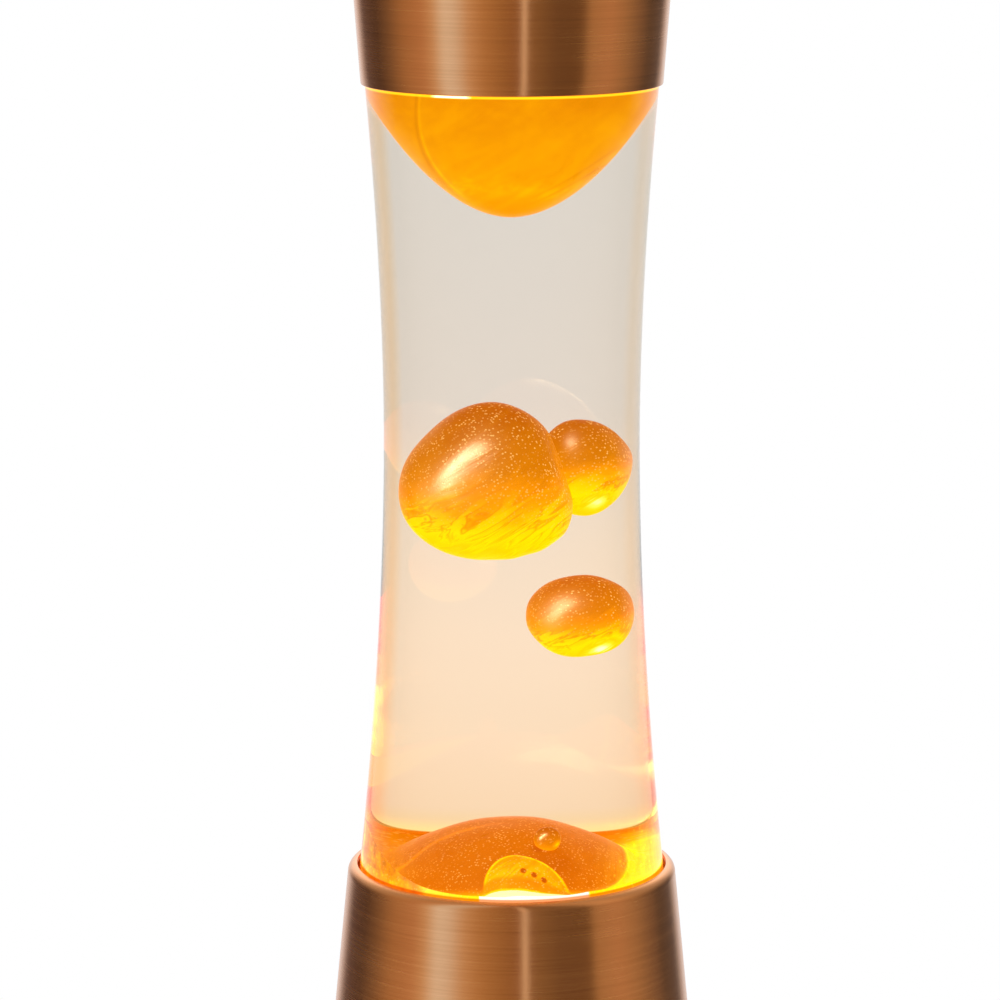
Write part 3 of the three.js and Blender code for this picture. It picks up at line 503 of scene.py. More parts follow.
def thin_wax_light(s, x, y):
    """Thin wax round the mound: bright at the right and the front, orange and speckled at the left."""
    rim = s.reach(s.length(s.join(x, y)), 26.8, 31.5, 0.0, 0.42, smooth=True)
    rim = s.times(rim, s.reach(x, -24.5, -20.5), s.reach(y, -6, 4, 1.0, 0.2))
    off_mound = s.length(s.join(s.times(x, POOL_NARROWING), s.plus(y, 8 * MM)))
    right = s.times(s.reach(off_mound, 29.2, 31.5, 0.0, 0.52, smooth=True), s.reach(x, 12, 18))
    grain = s.noise(s.place, scale=330.0, detail=3.0, roughness=0.6)
    left = s.times(s.reach(x, -22.5, -27, 0.0, 0.17, smooth=True), s.span(grain, 0.35, 0.65, 0.4, 1.7))
    return s.math("MAXIMUM", rim, s.math("MAXIMUM", right, left))


def mound_light(s, x, y, z):
    """The mound: dull, with a pale streak at the left, and shaded at the right and under the bead."""
    bend = s.span(s.noise(s.place, scale=70.0, detail=2.0), 0.3, 0.7, -2 * MM, 2 * MM)
    pale = s.reach(s.off(s.plus(y, bend), -3.5 * MM), 0.3, 1.8, 0.18, 0.0)
    pale = s.times(pale, s.reach(x, -7, 1, 1.0, 0.0))
    bead, bead_half = middle("wax_bead")
    under_bead = (bead.x - 1.6, bead.y - 1.2, bead.z - bead_half.z)
    dark = s.plus(s.times(s.near((9, -19, 135), 10), 0.14), s.times(s.near(under_bead, 2.6), 0.3))
    return s.minus(s.plus(s.reach(z, 130, 142, 0.25, 0.18), pale), dark)


def hump_light(s, x, y, around):
    """The swelling at the front, brighter than the wax around it, with a bright outline."""
    left, right, back = (size * MM for size in HUMP_SIZE)
    across = s.minus(x, HUMP_PLACE[0] * MM)
    share_x = s.math("DIVIDE", across, s.span(s.reach(across, -1, 1), 0.0, 1.0, left, right))
    share_y = s.math("DIVIDE", s.minus(y, HUMP_PLACE[1] * MM), back)
    away = s.length(s.join(share_x, share_y))
    hump = s.span(away, 0.93, 1.0, 1.0, 0.0, smooth=True)
    inside = s.span(s.plus(share_y, s.times(share_x, 0.5)), 0.8, -0.3, 0.46, 0.60)
    inside = s.minus(inside, s.span(share_y, 0.28, 0.08, 0.0, 0.12, smooth=True))
    outline = s.times(s.span(s.off(away, 0.93), 0.0, 0.07, 0.16, 0.0), s.span(share_y, 0.1, 0.5))
    return s.plus(s.times(around, s.minus(1.0, hump)), s.times(inside, hump), outline)


def pool_light(s):
    """The pool is dull on its mound, and bright where thin wax meets the lit glass."""
    x, y, z = s.split(s.place)
    lit = hump_light(s, x, y, s.plus(mound_light(s, x, y, z), thin_wax_light(s, x, y)))
    strip = s.times(s.reach(y, -28.8, -30.3, smooth=True), s.reach(x, -8.5, -7.0))
    lit = s.plus(lit, s.times(strip, s.reach(x, 17.0, 19.5, 1.0, 0.0), s.reach(z, 124.5, 127.0)))
    for spot in HUMP_SPOTS:
        away = s.distance(s.join(x, y), (*spot, 0))
        lit = s.minus(lit, s.reach(away, *HUMP_SPOT_RADII, 0.6, 0.0))
    return lit


def plated_metal(name, colour, roughness, grain):
    s = Shader(name, Metallic=1.0)
    fine = s.noise(s.stretched(grain, grain, grain), detail=5.0, roughness=0.65)
    cloud = s.noise(s.place, scale=55.0, detail=3.0)
    darker = rgb(*(0.78 * channel for channel in colour))
    s.set("Base Color", s.blend(s.span(cloud, 0.35, 0.75, 0.0, 0.3), rgb(*colour), darker))
    s.set("Roughness", s.span(fine, 0.3, 0.7, roughness - 0.07, roughness + 0.09))
    s.set("Normal", s.bump(fine, 0.03, 0.3))
    return s.material


def moulded_plastic(name, colour, roughness):
    s = Shader(name, IOR=PLASTIC_IOR)
    fine = s.noise(s.place, scale=900.0, detail=3.0, roughness=0.6)
    cloud = s.noise(s.place, scale=60.0, detail=3.0)
    lighter = rgb(*(min(1.0, 1.18 * channel + 0.004) for channel in colour))
    s.set("Base Color", s.blend(s.span(cloud, 0.3, 0.8, 0.0, 0.6), rgb(*colour), lighter))
    s.set("Roughness", s.span(fine, 0.3, 0.7, roughness - 0.06, roughness + 0.08))
    s.set("Normal", s.bump(fine, 0.03, 0.35))
    return s.material


def lit_bulb_glass():
    """The reflector bulb: a silvered flank and a frosted face that glows."""
    s = Shader("bulb_glass")
    face = s.reach(s.split(s.place)[2], *BULB_FACE_HEIGHTS, smooth=True)
    frost = s.noise(s.place, scale=1500.0, detail=2.0)
    s.set("Metallic", s.minus(1.0, face))
    s.set("Base Color", s.blend(face, BULB_SILVER, BULB_FROST))
    s.set("Roughness", s.plus(s.times(face, 0.35), s.span(frost, 0.3, 0.7, 0.08, 0.16)))
    s.set("Emission Color", BULB_LIGHT)
    s.set("Emission Strength", s.times(face, BULB_STRENGTH))
    s.set("Normal", s.bump(frost, 0.01, 0.3))
    return s.material


# ---------------------------------------------------------------- mesh building


def rounded(corners, closed=False, steps=5):
    """An outline from corners (radius, height, easing): each corner is cut back by its easing and curved."""
    points = []
    count = len(corners)
    for i, (x, z, ease) in enumerate(corners):
        here = Vector((x, z))
        ends = not closed and i in (0, count - 1)
        if ease <= 0 or ends:
            points.append((x, z))
            continue
        before = Vector(corners[i - 1][:2]) - here
        after = Vector(corners[(i + 1) % count][:2]) - here
        start = here + before.normalized() * min(ease, before.length * 0.5)
        end = here + after.normalized() * min(ease, after.length * 0.5)
        for k in range(steps + 1):
            t = k / steps
            point = start * (1 - t) ** 2 + here * 2 * t * (1 - t) + end * t ** 2
            points.append((point.x, point.y))
    return points


def arc(centre_radius, centre_z, radius, start, end, steps=8):
    angles = [math.radians(start + (end - start) * i / steps) for i in range(steps + 1)]
    return [(centre_radius + radius * math.cos(a), centre_z + radius * math.sin(a)) for a in angles]


def bezier(start, handle_a, handle_b, end, steps=16):
    points = []
    for i in range(steps + 1):
        t = i / steps
        weights = ((1 - t) ** 3, 3 * t * (1 - t) ** 2, 3 * t * t * (1 - t), t ** 3)
        corners = (start, handle_a, handle_b, end)
        points.append(tuple(sum(w * c[k] for w, c in zip(weights, corners)) for k in (0, 1)))
    return points


def steps_between(start, end, count):
    return [start + (end - start) * i / count for i in range(count + 1)]


def placed(name, mesh):
    thing = bpy.data.objects.new(name, mesh)
    bpy.context.scene.collection.objects.link(thing)
    return thing


def mesh_object(name, body, material_list):
    """A scene object from a bmesh in millimetres."""
    bmesh.ops.remove_doubles(body, verts=body.verts, dist=1e-5)
    bmesh.ops.recalc_face_normals(body, faces=body.faces)
    bmesh.ops.scale(body, vec=(MM, MM, MM), verts=body.verts)
    mesh = bpy.data.meshes.new(name)
    body.to_mesh(mesh)
    body.free()
    for material in material_list:
        mesh.materials.append(material)
    for polygon in mesh.polygons:
        polygon.use_smooth = True
    mesh.set_sharp_from_angle(angle=SHARP_ANGLE)
    return placed(name, mesh)


def turned(outline, closed, segments=ROUND, slot_of=None):
    """A bmesh in millimetres: an outline of (radius, height) points turned about the Z axis."""
    body = bmesh.new()
    rings = []
    for radius, z in outline:
        if radius < 1e-6:
            rings.append([body.verts.new((0, 0, z))])
            continue
        angles = [2 * math.pi * k / segments for k in range(segments)]
        rings.append([body.verts.new((radius * math.cos(a), radius * math.sin(a), z)) for a in angles])
    pairs = list(zip(rings, rings[1:]))
    if closed:
        pairs.append((rings[-1], rings[0]))
    for i, (low, high) in enumerate(pairs):
        for k in range(segments):
            below = [low[k % len(low)], low[(k + 1) % len(low)]]
            above = [high[(k + 1) % len(high)], high[k % len(high)]]
            corners = list(dict.fromkeys(below + above))
            if len(corners) > 2:
                face = body.faces.new(corners)
                face.material_index = slot_of(i) if slot_of else 0
    return body


def lathe(name, outline, material, closed=False, segments=ROUND):
    return mesh_object(name, turned(outline, closed, segments), [material])


def peg(radius, half_height, segments=ROUND_SMALL, place=Matrix()):
    """A solid round peg about the Z axis, for cutting holes, put in its place."""
    outline = [(0, -half_height), (radius, -half_height), (radius, half_height), (0, half_height)]
    return moved(turned(outline, False, segments), place)


def swept(points, radius, sides=10):
    """A bmesh in millimetres: a round bar with closed ends along the points."""
    body = bmesh.new()
    points = [Vector(p) for p in points]
    side = None
    rings = []
    for i, point in enumerate(points):
        ahead = points[min(i + 1, len(points) - 1)] - points[max(i - 1, 0)]
        ahead.normalize()
        if side is None:
            side = ahead.orthogonal().normalized()
        side = (side - ahead * side.dot(ahead)).normalized()
        across = ahead.cross(side)
        angles = [2 * math.pi * k / sides for k in range(sides)]
        spokes = [side * math.cos(a) + across * math.sin(a) for a in angles]
        rings.append([body.verts.new(point + radius * spoke) for spoke in spokes])
    for low, high in zip(rings, rings[1:]):
        for k in range(sides):
            n = (k + 1) % sides
            body.faces.new((low[k], low[n], high[n], high[k]))
    body.faces.new(rings[0])
    body.faces.new(rings[-1])
    return body


def block(size_x, size_y, low, high):
    body = bmesh.new()
    place = Matrix.Translation((0, 0, (low + high) / 2)) @ Matrix.Diagonal((size_x, size_y, high - low, 1))
    bmesh.ops.create_cube(body, size=1, matrix=place)
    return body


def moved(body, matrix):
    bmesh.ops.transform(body, matrix=matrix, verts=body.verts)
    return body


def used_up(body):
    """A mesh from a closed bmesh, which is freed."""
    mesh = bpy.data.meshes.new("part")
    bmesh.ops.recalc_face_normals(body, faces=body.faces)
    body.to_mesh(mesh)
    body.free()
    return mesh


def merged(thing, others, operation):
    """The mesh of a thing when others, which are then removed, are joined to it or cut out of it."""
    for other in others:
        modifier = thing.modifiers.new("merge", "BOOLEAN")
        modifier.operation = operation
        modifier.solver = "EXACT"
        modifier.object = other
    graph = bpy.context.evaluated_depsgraph_get()
    mesh = bpy.data.meshes.new_from_object(thing.evaluated_get(graph))
    thing.modifiers.clear()
    for other in others:
        bpy.data.objects.remove(other)
    return mesh


def carved(thing, cutters):
    """Takes the cutter bodies out of a piece and returns the piece with its new mesh."""
    together = bmesh.new()
    for cutter in cutters:
        mesh = used_up(cutter)
        together.from_mesh(mesh)
        bpy.data.meshes.remove(mesh)
    bmesh.ops.scale(together, vec=(MM, MM, MM), verts=together.verts)
    tools = bpy.data.meshes.new("cutters")
    together.to_mesh(tools)
    together.free()
    thing.data = merged(thing, [placed("cutters", tools)], "DIFFERENCE")
    thing.data.set_sharp_from_angle(angle=SHARP_ANGLE)
    return thing


def union(first, others):
    """One closed body from bodies that overlap."""
    things = [placed("part", used_up(body)) for body in (first, *others)]
    mesh = merged(things[0], things[1:], "UNION")
    bpy.data.objects.remove(things[0])
    body = bmesh.new()
    body.from_mesh(mesh)
    bpy.data.meshes.remove(mesh)
    return body


def shown(thing, node, body):
    """The piece stands for a CAD node, which it hides, and rides on its body."""
    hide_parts(node)
    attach(thing, body)
    return thing


def polar(radius, degrees):
    return (radius * math.cos(math.radians(degrees)), radius * math.sin(math.radians(degrees)))


# ---------------------------------------------------------------- shells


def base_radius(z):
    low, high = extent("base_shell")
    return high.x - BASE_SLOPE * (z - low.z)


def wall_tilt():
    """Turns a piece made along Z so that it points out of the base's back wall."""
    return Matrix.Rotation(-math.pi / 2 + math.atan(BASE_SLOPE), 4, "X")


def grommet_place():
    return Matrix.Translation((0, base_radius(GROMMET_Z) - BASE_WALL / 2, GROMMET_Z)) @ wall_tilt()


def base_shell(material):
    low, high = extent("base_shell")
    shoulder = high.z - LIP_ROUND
    centre = base_radius(shoulder) - LIP_ROUND
    wall = [(base_radius(z), z) for z in steps_between(low.z + 0.6, shoulder, 24)]
    lip = arc(centre, shoulder, LIP_ROUND, 6, 90, 10)
    inner = arc(centre, shoulder, LIP_ROUND - BASE_WALL, 90, 0, 6)
    outline = [
        (base_radius(low.z) - BASE_WALL, low.z), (base_radius(low.z) - 0.4, low.z), *wall, *lip,
        *rounded([(centre, high.z, 0), (LIP_INNER_RADIUS, high.z, 0.5),
                  (LIP_INNER_RADIUS, high.z - BASE_WALL, 0.4), (centre, high.z - BASE_WALL, 0)])[1:-1],
        *inner,
    ]
    shell = lathe("base_shell_brushed", outline, material, closed=True)
    inlet = peg(GROMMET_NECK + 0.2, 4, place=grommet_place())
    return shown(carved(shell, [inlet]), "base_shell", "base")


def top_cap(material):
    low, high = extent("top_cap")
    corner_z = high.z - CAP_CORNER
    edge = CAP_EDGE_RADIUS
    slope = (high.x - edge) / (corner_z - low.z)
    centre = high.x - CAP_CORNER
    wall = [(edge + slope * (z - low.z), z) for z in steps_between(low.z + 0.5, corner_z, 16)]
    corner = arc(centre, corner_z, CAP_CORNER, 3, 90, 14)
    face = [(radius, high.z) for radius in steps_between(centre, 0, 10)[1:]]
    inside_top = high.z - CAP_TOP_WALL
    inner = arc(centre, inside_top - CAP_CORNER + CAP_WALL, CAP_CORNER - CAP_WALL, 90, 0, 8)
    inside = [(0, inside_top), *inner, (edge - CAP_WALL, low.z + 0.4)]
    rim = [(edge - CAP_WALL + 0.1, low.z + 0.12), (edge - CAP_WALL / 2, low.z), (edge - 0.08, low.z + 0.14)]
    outline = [*inside, *rim, *wall, *corner, *face]
    return shown(lathe("top_cap_brushed", outline, material), "top_cap", "cap")


# ---------------------------------------------------------------- bottle


def glass_radius(z):
    span = WAIST_Z - LIP_Z if z < WAIST_Z else CAP_EDGE_Z - WAIST_Z
    flare = LOWER_FLARE if z < WAIST_Z else UPPER_FLARE
    return min(WAIST_RADIUS + flare * (abs(z - WAIST_Z) / span) ** FLARE_POWER, FOOT_RADIUS)


def glass_wall(inset, low, count=90):
    """The hourglass stretch and the shoulder, at a distance inside the outer surface."""
    heights = steps_between(low, SHOULDER_Z, count)
    stretch = [(glass_radius(z) - inset, z) for z in heights]
    bend = SHOULDER_Z + 18 - inset / 2
    start = stretch.pop()
    neck = NECK_RADIUS - inset
    return [*stretch, *bezier(start, (start[0] + 0.5, bend), (neck, bend), (neck, NECK_Z), 28)]


def glass_bottle(outer, inner, dry):
    low, high = extent("glass_bottle")
    centre = FOOT_RADIUS - BOTTLE_CORNER
    inner_corner = BOTTLE_CORNER - GLASS_WALL
    outside = [
        (0, low.z + 2), (centre - 10, low.z + 1.6),
        *arc(centre, low.z + BOTTLE_CORNER, BOTTLE_CORNER, -90, 0, 12),
        *glass_wall(0, low.z + BOTTLE_CORNER + 2),
        *rounded([(NECK_RADIUS, NECK_Z, 0), (NECK_RADIUS, 389.5, 0.6), (BEAD_RADIUS, 390.5, 0.5),
                  (BEAD_RADIUS, high.z, 0.9), (NECK_RADIUS - GLASS_WALL, high.z, 0.8),
                  (NECK_RADIUS - GLASS_WALL, 385, 0)])[1:],
    ]
    inside = [
        *glass_wall(GLASS_WALL, BOTTLE_FLOOR_Z + inner_corner + 1)[::-1],
        *arc(centre, BOTTLE_FLOOR_Z + inner_corner, inner_corner, 0, -90, 8),
        (0, BOTTLE_FLOOR_Z),
    ]
    outline = [*outside, *inside]
    dry_z = extent("wax_top_dome")[1].z

    def slot_of(i):
        if i < len(outside) - 1:
            return 0
        return 2 if outline[i][1] > dry_z else 1

    bottle = mesh_object("glass_bottle_clear", turned(outline, False, ROUND, slot_of), [outer, inner, dry])
    return shown(bottle, "glass_bottle", "bottle")


def content_radius(z):
    return glass_radius(z) - GLASS_WALL - CONTENT_GAP


def pool_height(radius):
    return POOL_APEX_Z - (POOL_APEX_Z - POOL_EDGE_Z) * (radius / content_radius(POOL_EDGE_Z)) ** POOL_POWER


def dome_height(radius):
    return DOME_APEX_Z + DOME_DROP * (radius / DOME_RING) ** DOME_POWER


def liquid_body(material):
    edge = content_radius(POOL_SHELF_Z) - 0.6
    bottom = [(r, POOL_EDGE_Z) for r in steps_between(0, edge, 48)]
    wall = [(content_radius(z), z) for z in steps_between(POOL_APEX_Z, SHOULDER_Z, 60)]
    top = [(r, dome_height(r) + OVERLAP) for r in steps_between(DOME_RADIUS, 0, 24)]
    body = turned([*bottom, *wall, *top], False)
    for vertex in body.verts:
        if math.hypot(vertex.co.x, vertex.co.y) < edge + 0.01 and vertex.co.z < POOL_APEX_Z:
            vertex.co.z = pool_top(vertex.co.x, vertex.co.y) - OVERLAP
    liquid = mesh_object("clear_liquid_body", body, [material])
    return shown(liquid, "clear_liquid", "bottle")


# ---------------------------------------------------------------- wax


def wax_egg(name, centre, size, shape, material, body, node, detail):
    """A ball of wax: shape(direction) gives the share of each half size that the surface reaches."""
    ball = bmesh.new()
    bmesh.ops.create_icosphere(ball, subdivisions=detail, radius=1)
    for vertex in ball.verts:
        direction = vertex.co.copy()
        scale = shape(direction)
        vertex.co = [centre[k] + size[k] * direction[k] * scale[k] for k in range(3)]
    return shown(mesh_object(name, ball, [material]), node, body)


def swollen(direction, swellings):
    """Share of the radius in a direction: swellings are (angle in the front view, amount, spread)."""
    share = 1.0
    for angle, amount, spread in swellings:
        x, z = polar(1, angle)
        cosine = max(-1.0, min(1.0, direction.x * x + direction.z * z))
        apart = math.degrees(math.acos(cosine))
        share += amount * math.exp(-((apart / spread) ** 2))
    return share


def large_shape(d):
    crease = 0.007 * math.sin(15 * (d.x * 0.8 + d.z)) * max(0.0, -d.z) * max(0.0, d.x + 0.4)
    share = swollen(d, LARGE_SWELLINGS) + 0.015 * noise.noise(d * 1.7 + Vector((3, 1, 2))) + crease
    return (share, share, share)


def upper_shape(d):
    share = swollen(d, UPPER_SWELLINGS) + 0.02 * noise.noise(d * 1.6 + Vector((8, 2, 5)))
    return (0.87 * share, share, share)


def lower_shape(d):
    share = swollen(d, LOWER_SWELLINGS) + 0.02 * noise.noise(d * 1.8 + Vector((1, 7, 4)))
    return (share, share, share)


def bead_shape(d):
    return (0.92, 0.92, 1.02 - 0.04 * d.z)


# Each blob: its node and body; its shape and mesh detail; how far it is moved from its CAD place; its hot
# and shaded places, as shares of its half size; how rough it is and how bright it glows
BLOBS = [
    ("wax_blob_large", "wax_pair", large_shape, 7, (0, 0, 0), None, None, 0.33, 1.0),
    ("wax_blob_upper", "wax_pair", upper_shape, 6, (-5.4, 2.5, -1.0),
     (0.45, -0.5, -0.72), (-0.9, -0.5, 0.0), 0.42, 1.0),
    ("wax_blob_lower", "wax_lower", lower_shape, 6, (0, 0, 0), (0.5, -0.5, -0.72), None, 0.42, 1.0),
    ("wax_bead", "wax_small", bead_shape, 5, (0.8, 0, 0), (0.7, -0.5, -0.3), None, 0.33, 0.7),
]
HOT_REACH = 0.55
SHADE_REACH = 0.7


def spot_in(centre, half, spot, reach):
    """A place given in shares of a piece's half size, and how far its effect reaches."""
    if spot is None:
        return None
    return [c + h * share for c, h, share in zip(centre, half, spot)], half.x * reach


def floating_wax(node, body, shape, detail, shift, hot, shade, roughness, strength):
    centre, half = middle(node)
    centre += Vector(shift)
    spots = spot_in(centre, half, hot, HOT_REACH), spot_in(centre, half, shade, SHADE_REACH)
    light = blob_light(centre.z - half.z, centre.z + half.z, *spots, strength)
    wax = orange_wax("glow_" + node, light, roughness=roughness)
    return wax_egg(node + "_glowing", centre, half, shape, wax, body, node, detail)


def polar_sheet(name, radius, top, bottom, material, rings=64, segments=ROUND):
    """A closed body between two surfaces, top(x, y) and bottom(x, y), over a disc."""
    body = bmesh.new()
    sheets = []
    for height in (top, bottom):
        middle_vertex = body.verts.new((0, 0, height(0, 0)))
        grid = []
        for i in range(1, rings + 1):
            r = radius * i / rings
            spots = [polar(r, 360 * k / segments) for k in range(segments)]
            grid.append([body.verts.new((x, y, height(x, y))) for x, y in spots])
        for k in range(segments):
            n = (k + 1) % segments
            body.faces.new((middle_vertex, grid[0][k], grid[0][n]))
            for inner, outer in zip(grid, grid[1:]):
                body.faces.new((inner[k], outer[k], outer[n], inner[n]))
        sheets.append(grid)
    for k in range(segments):
        n = (k + 1) % segments
        upper, lower = sheets[0][-1], sheets[1][-1]
        body.faces.new((upper[k], upper[n], lower[n], lower[k]))
    return mesh_object(name, body, [material])


def pool_top(x, y):
    """Height of the mound, the thin wax round it, the swelling in front, and wax clinging at the left."""
    radius = math.hypot(x, y)
    mound = pool_height(min(math.hypot(POOL_NARROWING * x, y), content_radius(POOL_EDGE_Z)))
    shelf = POOL_SHELF_Z + 2.6 * (radius / 36) ** 6
    joined = (mound + shelf + math.hypot(mound - shelf, 1.2)) / 2
    left, right, back = HUMP_SIZE
    across = (x - HUMP_PLACE[0]) / (right if x > HUMP_PLACE[0] else left)
    away = math.hypot(across, (y - HUMP_PLACE[1]) / back)
    hump = HUMP_RISE * max(0.0, 1 - away ** 4) if away < 1 else 0.0
    bearing = math.degrees(math.atan2(y, x)) % 360
    cling = 10 * math.exp(-(((bearing - 185) / 30) ** 2)) * max(0.0, (radius - 27) / 9) ** 2
    ripple = 0.3 * noise.noise(Vector((x, y, 0)) * 0.12)
    return joined + hump + cling + ripple


def wax_pool(material):
    edge = content_radius(POOL_EDGE_Z) - 0.1
    floor = BOTTLE_FLOOR_Z + CONTENT_GAP

    def bottom(x, y):
        return floor + 4.4 * max(0.0, math.hypot(x, y) / edge - 0.9) ** 2 * 100

    pool = polar_sheet("wax_pool_glowing", edge, pool_top, bottom, material)
    return shown(pool, "wax_pool", "bottle")


def wax_dome(material):
    def under(x, y):
        radius = math.hypot(x, y)
        groove = 0.25 * noise.noise(Vector((x * 0.05, y * 0.05, 3)))
        return dome_height(radius) + groove

    top_z = extent("wax_top_dome")[1].z
    dome = polar_sheet("wax_top_dome_glowing", DOME_RADIUS, lambda x, y: top_z, under, material)
    return shown(dome, "wax_top_dome", "bottle")


# ---------------------------------------------------------------- inner pieces


def seat_ring(material):
    low, high = extent("bottle_seat_ring")
    wall = 1.2
    bore = 29
    vents = 6
    vent_ring = 38
    vent_radius = 2.4
    corners = [
        (bore, high.z - wall, 0.4), (high.x - wall, high.z - wall, 1.0), (high.x - wall, low.z, 0.3),
        (high.x, low.z, 0.3), (high.x, high.z, 1.4), (bore, high.z, 0.4),
    ]
    ring = lathe("bottle_seat_ring_pressed", rounded(corners, closed=True), material, closed=True)
    holes = []
    for k in range(vents):
        place = Matrix.Translation((*polar(vent_ring, 360 / vents * k), high.z - wall / 2))
        holes.append(peg(vent_radius, 2, place=place))
    return shown(carved(ring, holes), "bottle_seat_ring", "base")


def bottom_cover(material):
    low, high = extent("bottom_cover")
    outline = rounded([(0, low.z, 0), (high.x, low.z, 0.3), (high.x, high.z, 0.3), (0, high.z, 0)])
    cover = lathe("bottom_cover_pressed", outline, material)
    screw_hole = 1.75
    deep = 3
    slots = 10
    slot_ring = 29
    half_width = 1.6
    half_length = 4.9
    tools = []
    screws = [f"bottom_cover_screw_{i + 1}" for i in range(3)] + [f"bracket_screw_{i + 1}" for i in range(2)]
    for node in screws:
        centre, half = middle(node)
        tools.append(peg(screw_hole, deep, ROUND_HOLE, Matrix.Translation((centre.x, centre.y, low.z))))
    for k in range(slots):
        angle = 360 / slots * (k + 0.5)
        turn = Matrix.Rotation(math.radians(angle), 4, "Z")
        place = Matrix.Translation((*polar(slot_ring, angle), low.z)) @ turn
        slot = block(2 * half_width, 2 * half_length, -deep, deep)
        ends = [peg(half_width, deep, ROUND_HOLE, Matrix.Translation((0, end, 0)))
                for end in (-half_length, half_length)]
        tools.append(moved(union(slot, ends), place))
    return shown(carved(cover, tools), "bottom_cover", "base")


def rubber_foot(node, material):
    centre, half = middle(node)
    low, high = extent(node)
    outline = rounded([(0, low.z, 0), (half.x, low.z, 0.9), (half.x, high.z, 0.3), (0, high.z, 0)])
    foot = moved(turned(outline, False, ROUND_SMALL), Matrix.Translation((centre.x, centre.y, 0)))
    return shown(mesh_object(node + "_moulded", foot, [material]), node, "base")


def cable_grommet(material):
    inside = BASE_WALL / 2 + 1.2
    outside = BASE_WALL / 2 + 0.3
    flange = 0.8
    corners = [
        (GROMMET_BORE, -inside - flange, 0.3), (GROMMET_FLANGE, -inside - flange, 0.3),
        (GROMMET_FLANGE, -inside, 0.2), (GROMMET_NECK, -inside, 0), (GROMMET_NECK, outside, 0),
        (GROMMET_FLANGE, outside, 0.2), (GROMMET_FLANGE, outside + flange, 0.5),
        (GROMMET_BORE, outside + flange, 0.5),
    ]
    body = moved(turned(rounded(corners, closed=True), True, ROUND_SMALL), grommet_place())
    grommet = mesh_object("cable_grommet_moulded", body, [material])
    return shown(grommet, "cable_grommet", "base")


def bulb_envelope(material):
    low, high = extent("bulb_envelope")
    neck = 5.1
    rim = high.x
    skin = 0.9
    face_start = high.z - 9
    outer = [
        (neck, low.z),
        *bezier((neck, low.z + 6), (neck + 3, low.z + 14), (rim - 1, low.z + 23), (rim, low.z + 34), 20),
        *bezier((rim, face_start), (rim - 0.4, high.z - 3.6), (10, high.z), (0, high.z), 20),
    ]
    inner = [(max(r - skin, 0), z - (skin if z > face_start else 0)) for r, z in outer][::-1]
    bulb = lathe("bulb_envelope_blown", [*outer, *inner], material, segments=ROUND_MEDIUM)
    return shown(bulb, "bulb_envelope", "bulb")


def crown_cap(material):
    low, high = extent("bottle_crown_cap")
    flutes = 21
    flute_height = 4
    flute_depth = 0.4
    bead = BEAD_RADIUS
    shoulder = [(bead + 1, high.z - 2, 0), (bead + 0.7, high.z, 1.2), (bead - 3, high.z, 0)]
    outline = [
        (0, high.z - 1), (bead + 0.4, high.z - 1), (bead + 0.4, low.z), (bead + 1.4, low.z),
        (bead + 1.2, low.z + 2.5), *rounded(shoulder), (0, high.z),
    ]
    cup = turned(outline, False, flutes * 10)
    for vertex in cup.verts:
        radius = math.hypot(vertex.co.x, vertex.co.y)
        skirt = max(0.0, 1 - (vertex.co.z - low.z) / flute_height)
        if radius > bead + 0.5 and skirt > 0:
            wave = math.cos(flutes * math.atan2(vertex.co.y, vertex.co.x))
            grown = 1 + flute_depth * skirt * wave / radius
            vertex.co.x *= grown
            vertex.co.y *= grown
    crown = mesh_object("bottle_crown_cap_fluted", cup, [material])
    return shown(crown, "bottle_crown_cap", "bottle")


def heat_coil(material):
    ring_radius = 20.25
    coil_radius = 3.6
    wire_radius = 0.5
    turns = 24
    share = 0.97  # of the whole circle
    centre_z = BOTTLE_FLOOR_Z + coil_radius + 1
    points = []
    count = turns * 24
    for i in range(count + 1):
        around = 2 * math.pi * share * i / count
        twist = 2 * math.pi * turns * i / count
        radius = ring_radius + coil_radius * math.cos(twist)
        height = centre_z + coil_radius * math.sin(twist)
        points.append((radius * math.cos(around), radius * math.sin(around), height))
    coil = mesh_object("heat_coil_wound", swept(points, wire_radius), [material])
    return shown(coil, "heat_coil", "bottle")


def holder_body(material):
    low, high = extent("lamp_holder_body")
    side = high.x - 1
    bore = 8.4
    nipple_socket = 5.3
    lead_hole = 3.6
    floor = low.z + 6.7
    corners = [
        (nipple_socket, low.z, 0.3), (side - 3, low.z, 0.8), (side, low.z + 3.7, 1.0),
        (side, high.z - 6, 0.4), (high.x, high.z - 5, 0.4), (high.x, high.z, 0.8), (bore + 1.2, high.z, 0.5),
        (bore, high.z - 1.2, 0.3), (bore, floor, 0.5), (lead_hole, floor, 0.3), (lead_hole, low.z + 5, 0),
        (nipple_socket, low.z + 5, 0),
    ]
    outline = rounded(corners, closed=True)
    holder = lathe("lamp_holder_moulded", outline, material, closed=True, segments=ROUND_MEDIUM)
    return shown(holder, "lamp_holder_body", "base")


# ---------------------------------------------------------------- stage

